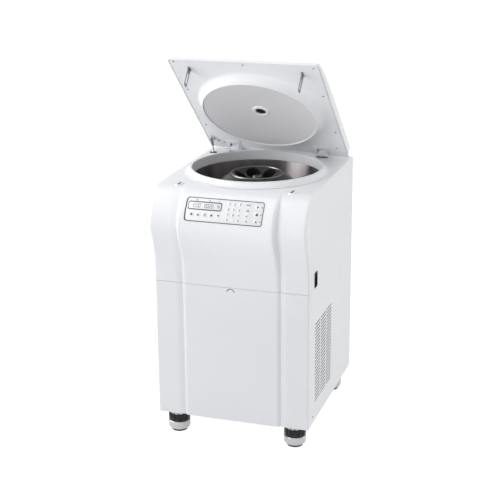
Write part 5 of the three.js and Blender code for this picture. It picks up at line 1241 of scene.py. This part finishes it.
def front_text(name, words, x, z, size, low, high):
    """Words printed on the front, as thin raised letters."""
    curve = bpy.data.curves.new(name, "FONT")
    curve.body = words
    curve.size = size
    curve.align_x, curve.align_y = "CENTER", "CENTER"
    curve.extrude = 0.5
    curve.resolution_u = 3
    curve.offset = 0.03 * size
    draft = added(name, curve)
    mesh = bpy.data.meshes.new_from_object(draft.evaluated_get(bpy.context.evaluated_depsgraph_get()))
    flat = np.empty(len(mesh.vertices) * 3, np.float32)
    mesh.vertices.foreach_get("co", flat)
    flat = flat.reshape(-1, 3).astype(float)
    lift = np.where(flat[:, 2] > 0, high, low)
    mesh.vertices.foreach_set("co", to_row(on_front(x + flat[:, 0], z + flat[:, 1], lift)).ravel())
    mesh.update()
    bpy.data.objects.remove(draft)
    bpy.data.curves.remove(curve)
    return added(name, mesh)


# %% The foil, its field and the display
PLATE_X, PLATE_Z, PLATE_WIDTH, PLATE_HEIGHT = -6.5, 770.75, 271.0, 70.5
FOIL = 1.5
border = front_plate("panel_border", PLATE_X, PLATE_Z, PLATE_WIDTH, PLATE_HEIGHT, 9, 0.3, FOIL - 0.3)
place(border, foil_border, "cabinet", "panel_grey", "control_panel")
field = front_plate("panel_field", PLATE_X + 1.6, PLATE_Z + 0.3, PLATE_WIDTH - 7.2, PLATE_HEIGHT - 4.6, 7,
                    FOIL - 0.4, FOIL, soft=0.1)
place(field, foil_white, "cabinet", "panel_grey")
WINDOW_X, WINDOW_Z = -74.0, 783.5
bezel = front_plate("display_bezel", WINDOW_X, WINDOW_Z, 118, 24, 6, FOIL - 0.1, FOIL + 0.5, soft=0.3)
place(bezel, foil_border, "cabinet", "window_grey")
window = front_plate("display_glass", WINDOW_X + 0.4, WINDOW_Z, 112, 18.5, 4, FOIL + 0.3, FOIL + 1.0,
                     soft=0.25)
place(window, display_grey, "cabinet", "window_grey", "display_window")

# %% Numbers in the display
SEGMENTS = {
    "a": (0, 1, True), "g": (0, 0, True), "d": (0, -1, True), "f": (-1, 0.5, False), "b": (1, 0.5, False),
    "e": (-1, -0.5, False), "c": (1, -0.5, False)}
LIT = {"0": "abcdef", "1": "bc", "2": "abged", "3": "abgcd", "4": "fgbc", "5": "afgcd", "6": "afgedc",
       "7": "abc", "8": "abcdefg", "9": "abcdfg"}


def segment(x, z, length, thick, flat):
    """A bar with pointed ends, lying or standing."""
    a, b = length / 2, thick / 2
    bar = np.array([[-a, 0], [-a + b, -b], [a - b, -b], [a, 0], [a - b, b], [-a + b, b]])
    return (bar if flat else bar[:, ::-1]) + [x, z]


GROUP_X = (-105, -60, -27)
DIGIT_STEP, ACROSS, UPRIGHT, BAR_LENGTH, BAR_WIDTH = 8.2, 2.6, 5, 4.8, 1.5
digits = []
for group_x, number in zip(GROUP_X, ("4000", "0020", "4")):
    for i, digit in enumerate(number):
        x = group_x + (i - (len(number) - 1) / 2) * DIGIT_STEP
        for key in LIT[digit]:
            u, v, flat = SEGMENTS[key]
            shape = segment(x + u * ACROSS, WINDOW_Z + v * UPRIGHT, BAR_LENGTH, BAR_WIDTH, flat)
            digits.append(front_shape("bar", shape, FOIL + 0.9, FOIL + 1.06))
place(merged("display_digits", digits), print_dark, "cabinet", "window_grey")

# %% Keys and printed signs
KEY_X, KEY_Z = (9.0, 28.0, 47.0), (794.5, 779.0, 763.5, 748.0)
SIDE_X, START_X, ICON_Z = 75.0, 108.5, 758.0
ICON_X = (-116.5, -93.5, -70.0, -46.5, -23.0)
START_Z = (791.5, 770.5, 750.0)
key_places = [(x, z) for z in KEY_Z for x in KEY_X]


def key(x, z, width, height, radius=3, soft=0.25, rows=14):
    """A membrane key, barely raised above the foil."""
    return front_plate("key", x, z, width, height, radius, FOIL - 0.1, FOIL + 0.35, soft=soft, rows=rows)


keys = [key(x, z, 15.5, 11.5) for x, z in key_places]
keys += [key(SIDE_X, z, 18, 11.5) for z in KEY_Z]
keys += [key(x, ICON_Z, 17, 12) for x in ICON_X]
place(merged("panel_keys", keys, 40), key_white, "cabinet", "panel_grey")
start_keys = [key(START_X, z, 20, 13, radius=4, soft=0.3, rows=16) for z in START_Z]
place(merged("panel_start_keys", start_keys, 40), key_grey, "cabinet", "panel_grey")

INK, INK_TOP = FOIL + 0.25, FOIL + 0.46
signs = []
for (x, z), label in zip(key_places, ("1", "2", "3", "4", "5", "6", "7", "8", "9", "0", ".", "C")):
    signs.append(front_text("digit", label, x, z, 8.5, INK, INK_TOP))
for z, label in zip(KEY_Z, ("PROG", "TIME", "SET", "OK")):
    signs.append(front_text("word", label, SIDE_X, z, 5.8, INK, INK_TOP))
for x, label in zip(GROUP_X, ("rpm", "min", "C")):
    signs.append(front_text("unit", label, x, 799.2, 4.6, FOIL - 0.1, FOIL + 0.06))
ARROW_UP = np.array([[-4.2, -3.4], [4.2, -3.4], [0, 3.6]])
ARROW_DOWN, ARROW_RIGHT = ARROW_UP[::-1] * [1, -1], ARROW_UP[::-1, ::-1]
bars = [rectangle(0, dz, 8, 1.5, 0.5, 2) for dz in (-3, 0, 3)]
icons = [[circle(0, 0, 3.9, 28)], [ARROW_UP], bars, [rectangle(0, 0, 6.4, 6.4, 1, 3)], [ARROW_DOWN]]
for x, outlines in zip(ICON_X, icons):
    signs += [front_shape("icon", outline + [x, ICON_Z], INK, INK_TOP) for outline in outlines]
for z, outline in zip(START_Z, (ARROW_RIGHT, rectangle(0, 0, 8.5, 7, 0.5, 2), ARROW_UP)):
    signs.append(front_shape("icon", outline + [START_X, z], INK, INK_TOP + 0.08))
place(merged("panel_print", signs), print_dark, "cabinet", "panel_grey")
lamps = [front_shape("lamp", circle(122.8, z, 1.7, 20), FOIL - 0.1, FOIL + 0.4) for z in START_Z]
place(merged("panel_lamps", lamps, 40), lamp_dark, "cabinet", "panel_grey")
print("control panel done")

# %% [markdown]
# ## Switch, power inlet and feet
#
# The mains switch sits in a black bezel on the right side and the inlet at the rear. Each foot is a light cup
# on a rubber pad, with a flange under the cabinet and a black ring nut between them.

# %% The mains switch
def chamfered(u, v, half_width, half_height, corner):
    """A rectangle with its corners cut off at 45 degrees."""
    a, b, c = half_width, half_height, corner
    return np.array([[u - a + c, v - b], [u + a - c, v - b], [u + a, v - b + c], [u + a, v + b - c],
                     [u + a - c, v + b], [u - a + c, v + b], [u - a, v + b - c], [u - a, v - b + c]])


bezel_flange = slab("switch_bezel_frame", chamfered(SWITCH_Y, SWITCH_Z, 17.5, 27.5, 3), SIDE + 0.3,
                    SIDE + 1.6, axis="x", soft=0.7)
body_outline = rectangle(SWITCH_Y, SWITCH_Z, SWITCH_WIDTH, SWITCH_HEIGHT, 1)
bezel_body = slab("body", body_outline, SIDE - 27, SIDE + 1, axis="x")
combined(bezel_flange, [bezel_body], "UNION")
pocket = rectangle(SWITCH_Y, SWITCH_Z, SWITCH_WIDTH - 2 * SWITCH_WALL, SWITCH_HEIGHT - 2 * SWITCH_WALL, 1)
cut(bezel_flange, hole(pocket, SIDE - 25, SIDE + 9, "x"))
place(bezel_flange, matte_black, "cabinet", "black_plastic", "switch_bezel")

ROCKER_TILT = radians(8)
DIP, ROCKER_HALF = SIDE - 4.2, 20.5
bend = (ROCKER_HALF + 1) * tan(ROCKER_TILT)
rocker_outline = fillet([
    (SIDE - 12, SWITCH_Z - 14, 2), (DIP + bend, SWITCH_Z - ROCKER_HALF, 1.5), (DIP, SWITCH_Z, 6),
    (DIP + bend, SWITCH_Z + ROCKER_HALF, 1.5), (SIDE - 12, SWITCH_Z + 14, 2)], steps=8)
rocker = slab("rocker_cap", rocker_outline, SWITCH_Y - 12, SWITCH_Y + 12, axis="y", soft=0.8, angle=30)
mark_on = slab("mark_on", rectangle(SWITCH_Y, SWITCH_Z + 12, 1.0, 6, 0.4, 3), DIP - 1, DIP + 0.1, axis="x",
               soft=0.05)
mark_off = slab("mark_off", circle(SWITCH_Y, SWITCH_Z - 11, 3.2, 32), DIP - 1, DIP + 0.1, axis="x", soft=0.05)
cut(mark_off, hole(circle(SWITCH_Y, SWITCH_Z - 11, 2.4), DIP - 2, DIP + 2, "x"))


def tilted(pieces, x, angle):
    """Turns pieces about the line along y through (x, SWITCH_Z)."""
    centre = Vector(to_row([x, SWITCH_Y, SWITCH_Z])[0])
    turn = Matrix.Translation(centre) @ Matrix.Rotation(angle, 4, "Y") @ Matrix.Translation(-centre)
    for piece in pieces:
        piece.data.transform(turn)


tilted([mark_on], DIP, ROCKER_TILT)
tilted([mark_off], DIP, -ROCKER_TILT)
marks = merged("rocker_marks", [mark_on, mark_off], 40)
tilted([rocker, marks], SIDE, ROCKER_TILT)
place(rocker, matte_black, "rocker", "black_plastic", "switch_rocker")
place(marks, print_grey, "rocker", "white_plastic")

# %% The power inlet
inlet = slab("inlet_frame", rectangle(INLET_X, INLET_Z, 60, 40, 3), DEPTH + 0.3, DEPTH + 2.8, axis="y",
             soft=0.7)
inlet_body = slab("body", rectangle(INLET_X, INLET_Z, 49.4, 29.4, 1), DEPTH - 26, DEPTH + 1, axis="y")
combined(inlet, [inlet_body], "UNION")
cut(inlet, hole(rectangle(INLET_X, INLET_Z, 41.4, 21.4, 2), DEPTH - 23, DEPTH + 9, "y"))
pin_outlines = [
    rectangle(INLET_X + dx, INLET_Z + dz, 2.6, 6, 0.5, 2) for dx, dz in ((-8, -2), (0, 3), (8, -2))]
pins = [slab("pin", outline, DEPTH - 24, DEPTH - 6, axis="y", soft=0.5) for outline in pin_outlines]
place(merged("inlet_pins", pins, 40), bright_steel, "cabinet", "stainless")
place(inlet, black_plastic, "cabinet", "black_plastic", "power_inlet")

# %% The feet
FOOT_X, FOOT_Y = SIDE - 59, (45.0, DEPTH - 55)
RING_TOP, RING_LOW = -13.6, -40.6
CUP_TOP = RING_LOW - 0.3
cup_profile = np.vstack([
    [CORE, -73.8], [27.6, -73.8], [29, -73.2], arc(25, -59.6, 14, -73, 0, 10), [39, CUP_TOP - 0.8],
    [38.2, CUP_TOP], [14, CUP_TOP], [14, RING_TOP + 0.3], [33, RING_TOP + 0.3], [33.8, RING_TOP + 1.1],
    [36, -1.2], [35.2, -0.3], [CORE, -0.3]])
pad_profile = np.array([
    [CORE, FLOOR_Z], [27.2, FLOOR_Z], [28.2, FLOOR_Z + 1], [28.4, FLOOR_Z + 6], [CORE, FLOOR_Z + 6]])
RECESSES, RECESS_WIDTH, RECESS_LOW, RECESS_DEPTH, RECESS_FADE = 12, 6.6, -27.0, 4, 2.2
RING_RADIUS, RING_EASED, RING_BORE, RING_SIDES = 38.0, 37.1, 14.3, 360


def foot_ring(x, y):
    """A ring nut with finger recesses that are open below. The wall is drawn in by a depth that fades
    towards each recess's edge as t^2 (3 - 2t)."""
    wall = np.linspace(RING_LOW + 0.9, RING_TOP - 0.9, 19)
    profile = np.vstack([
        [RING_BORE, RING_LOW], [RING_EASED, RING_LOW],
        np.column_stack([np.full(len(wall), RING_RADIUS), wall]),
        [RING_EASED, RING_TOP], [RING_BORE, RING_TOP]])
    a = np.arange(RING_SIDES)[None, :] / RING_SIDES * 2 * pi
    radius, height = profile[:, 0, None], profile[:, 1, None]
    step = 2 * pi / RECESSES
    across = RING_RADIUS * (np.mod(a + step / 2, step) - step / 2)
    distance = np.hypot(across, np.minimum(height - RECESS_LOW, 0))
    share = np.clip((RECESS_WIDTH - distance) / RECESS_FADE, 0, 1)
    radius = radius - np.where(radius > 30, RECESS_DEPTH * share**2 * (3 - 2 * share), 0)
    points = np.stack([x + radius * np.cos(a), y + radius * np.sin(a), height + 0 * a], axis=-1)
    return grid_piece("foot_ring_nut", points, wrap_rows=True, wrap_columns=True, angle=40)


for end, y in zip(("front", "rear"), FOOT_Y):
    for word, x in (("left", -FOOT_X), ("right", FOOT_X)):
        cup = turned(f"foot_body_{end}_{word}", cup_profile, centre=(x, y), sides=96, closed=False, angle=35)
        place(cup, light_foot, "cabinet", "light_metal", f"foot_cup_{end}_{word}")
        pad = turned(f"foot_pad_{end}_{word}", pad_profile, centre=(x, y), sides=64, closed=False, angle=35)
        place(pad, black_rubber, "cabinet", "rubber")
        nut = foot_ring(x, y)
        nut.name = f"foot_nut_{end}_{word}"
        place(nut, gloss_black, f"foot_ring_{end}_{word}", "black_plastic", f"foot_ring_{end}_{word}")
print("feet done")

# %% [markdown]
# ## The machinery inside
#
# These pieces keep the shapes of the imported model. Some get a finish from above: copper on the coil, bare
# fins on the condenser, foam round the bowl. The frame, the fan, the power box and the board keep the plain
# material that the loader made for their slot.

# %% Finishes of the inner pieces
ends = [f"{end}_{word}" for end in ("front", "rear") for word in ("left", "right")]
loaded = bpy.data.materials
INNER = [
    (loaded["zinc_plate"], [
        "base_plate", "front_top_rail", "motor_shelf", *(f"corner_post_{end}" for end in ends)]),
    (dark_enamel, ["guard_ring", "motor_housing", "compressor", "latch_case_left", "latch_case_right"]),
    (copper_tube, ["evaporator_coil", "refrigerant_line"]),
    (foam_cream, ["insulation_jacket"]),
    (black_rubber, ["motor_mounts"]),
    (bare_fins, ["condenser"]),
    (loaded["black_plastic"], ["fan_shroud", "condenser_fan"]),
    (loaded["box_grey"], ["power_box"]),
    (loaded["board_green"], ["control_board"]),
    (bright_steel, ["drive_shaft"]),
]
for finish, nodes in INNER:
    for node in nodes:
        dress(frame["nodes"][node], finish)
print("inner pieces:", sum(len(nodes) for _, nodes in INNER))

# %% [markdown]
# ## Floor, light and camera
#
# The floor looks white to the camera and to reflections, and keeps a soft shadow. To all other light it is an
# ordinary pale floor. Two square lamps stand at the upper left: the key, and a streak that shows in shiny
# surfaces alone. Two spots reach the open lid. Three wide distant lamps fill in: from the left in front,
# from the right behind and from above.


# %% Floor and world
def seen_directly(tree):
    """One for rays from the camera and for mirrored or passing rays, and zero for diffuse light."""
    path = tree.nodes.new("ShaderNodeLightPath")
    total = path.outputs["Is Camera Ray"]
    for name in ("Is Glossy Ray", "Is Transmission Ray"):
        add = tree.nodes.new("ShaderNodeMath")
        add.operation = "MAXIMUM"
        tree.links.new(total, add.inputs[0])
        tree.links.new(path.outputs[name], add.inputs[1])
        total = add.outputs[0]
    return total


def shader_of(tree, kind, grey, strength=None):
    """The output of a shader of one grey, with a strength if it gives light."""
    node = tree.nodes.new(kind)
    node.inputs["Color"].default_value = (grey, grey, grey, 1)
    if strength is not None:
        node.inputs["Strength"].default_value = strength
    return node.outputs[0]


def split_by_ray(tree, lit, seen, output):
    """Ends a tree: its first shader is for diffuse light and its second for what is seen directly."""
    choice = tree.nodes.new("ShaderNodeMixShader")
    tree.links.new(seen_directly(tree), choice.inputs["Fac"])
    tree.links.new(lit, choice.inputs[1])
    tree.links.new(seen, choice.inputs[2])
    tree.links.new(choice.outputs[0], tree.nodes.new(output).inputs["Surface"])


FLOOR_COLOUR, SHADOW_SHARE, FLOOR_LIFT, FLOOR_HALF = 0.8, 0.3, 0.9, 40000
ROOM_LIGHT, ROOM_LOOK = 0.57, 1.0
floor_points = np.array([[-1, -1, 0], [1, -1, 0], [1, 1, 0], [-1, 1, 0]]) * FLOOR_HALF + [0, 0, FLOOR_Z]
floor = new_piece("floor", floor_points, [(0, 1, 2, 3)])
floor_paint = bpy.data.materials.new("floor_paint")
floor_paint.use_nodes = True
tree = floor_paint.node_tree
tree.nodes.clear()
plain = shader_of(tree, "ShaderNodeBsdfDiffuse", FLOOR_COLOUR)
faint = shader_of(tree, "ShaderNodeBsdfDiffuse", SHADOW_SHARE)
lift = shader_of(tree, "ShaderNodeEmission", 1, FLOOR_LIFT)
lifted = tree.nodes.new("ShaderNodeAddShader")
tree.links.new(faint, lifted.inputs[0])
tree.links.new(lift, lifted.inputs[1])
split_by_ray(tree, plain, lifted.outputs[0], "ShaderNodeOutputMaterial")
dress(floor, floor_paint)

world = bpy.data.worlds.new("room")
bpy.context.scene.world = world
world.use_nodes = True
tree = world.node_tree
tree.nodes.clear()
room = [shader_of(tree, "ShaderNodeBackground", 1, strength) for strength in (ROOM_LIGHT, ROOM_LOOK)]
split_by_ray(tree, *room, "ShaderNodeOutputWorld")


# %% Lamps
def soft_sun(name, toward, level, angle):
    """A wide distant lamp. A white face square to it sends back its level as radiance."""
    obj = added(name, bpy.data.lights.new(name, "SUN"))
    obj.data.energy = level * pi
    obj.data.angle = radians(angle)
    obj.rotation_euler = Vector(toward).to_track_quat("Z", "Y").to_euler()
    return obj


def aimed(name, kind, start, target):
    """A lamp that looks from its start at a target, and the distance between them in metres."""
    start, end = Vector(to_row(start)[0]), Vector(to_row(target)[0])
    obj = added(name, bpy.data.lights.new(name, kind))
    obj.location = start
    obj.rotation_euler = (start - end).to_track_quat("Z", "Y").to_euler()
    return obj, (end - start).length


def softbox(name, start, target, size, level):
    """A square lamp. A white face that looks straight at it from the target sends back its level."""
    obj, distance = aimed(name, "AREA", start, target)
    obj.data.size = size
    obj.data.energy = level * (pi * distance) ** 2
    return obj


def lid_spot(name, start, target, cone, level):
    """A soft-edged spot lamp on the open lid, which stands out of reach of the other lamps."""
    obj, distance = aimed(name, "SPOT", start, target)
    obj.data.spot_size = radians(cone)
    obj.data.spot_blend = 0.8
    obj.data.shadow_soft_size = 0.35
    obj.data.energy = level * 4 * (pi * distance) ** 2
    obj.visible_glossy = False


softbox("key", (-1450, -150, 1450), (0, 200, 850), 1.6, 0.5)
streak = softbox("streak", (-1500, -150, 1450), (0, 300, 780), 1.2, 2.1)
streak.visible_diffuse = False
lid_spot("lid_left", (-1300, -1500, 900), (20, 400, 1080), 36, 0.07)
lid_spot("lid_front", (400, -2200, 700), (80, 400, 1060), 18, 0.3)
front_light = soft_sun("front", (-0.62, -0.78, 0.06), 0.3, 40)
front_light.visible_glossy = False
soft_sun("fill", (0.82, 0.5, 0.28), 0.26, 50)
soft_sun("top", (-0.1, 0, 1), 0.19, 60)

# %% Camera
AZIMUTH, ELEVATION, ROLL = radians(18.07), radians(17.88), radians(-0.442)
CAMERA_AT, LENS, SENSOR = [1287.6, -3731.6, 1900.6], 89.11, 36
ahead = Vector((-sin(AZIMUTH) * cos(ELEVATION), cos(AZIMUTH) * cos(ELEVATION), -sin(ELEVATION)))
right = ahead.cross(Vector((0, 0, 1))).normalized()
up = right.cross(ahead)
right, up = cos(ROLL) * right + sin(ROLL) * up, cos(ROLL) * up - sin(ROLL) * right
camera = added("camera", bpy.data.cameras.new("camera"))
camera.data.lens = LENS
camera.data.sensor_width = SENSOR
camera.data.clip_end = 200
turn = Matrix([right, up, -ahead]).transposed().to_4x4()
camera.matrix_world = Matrix.Translation(Vector(to_row(CAMERA_AT)[0])) @ turn
bpy.context.scene.camera = camera
bpy.context.scene.view_settings.view_transform = "Standard"
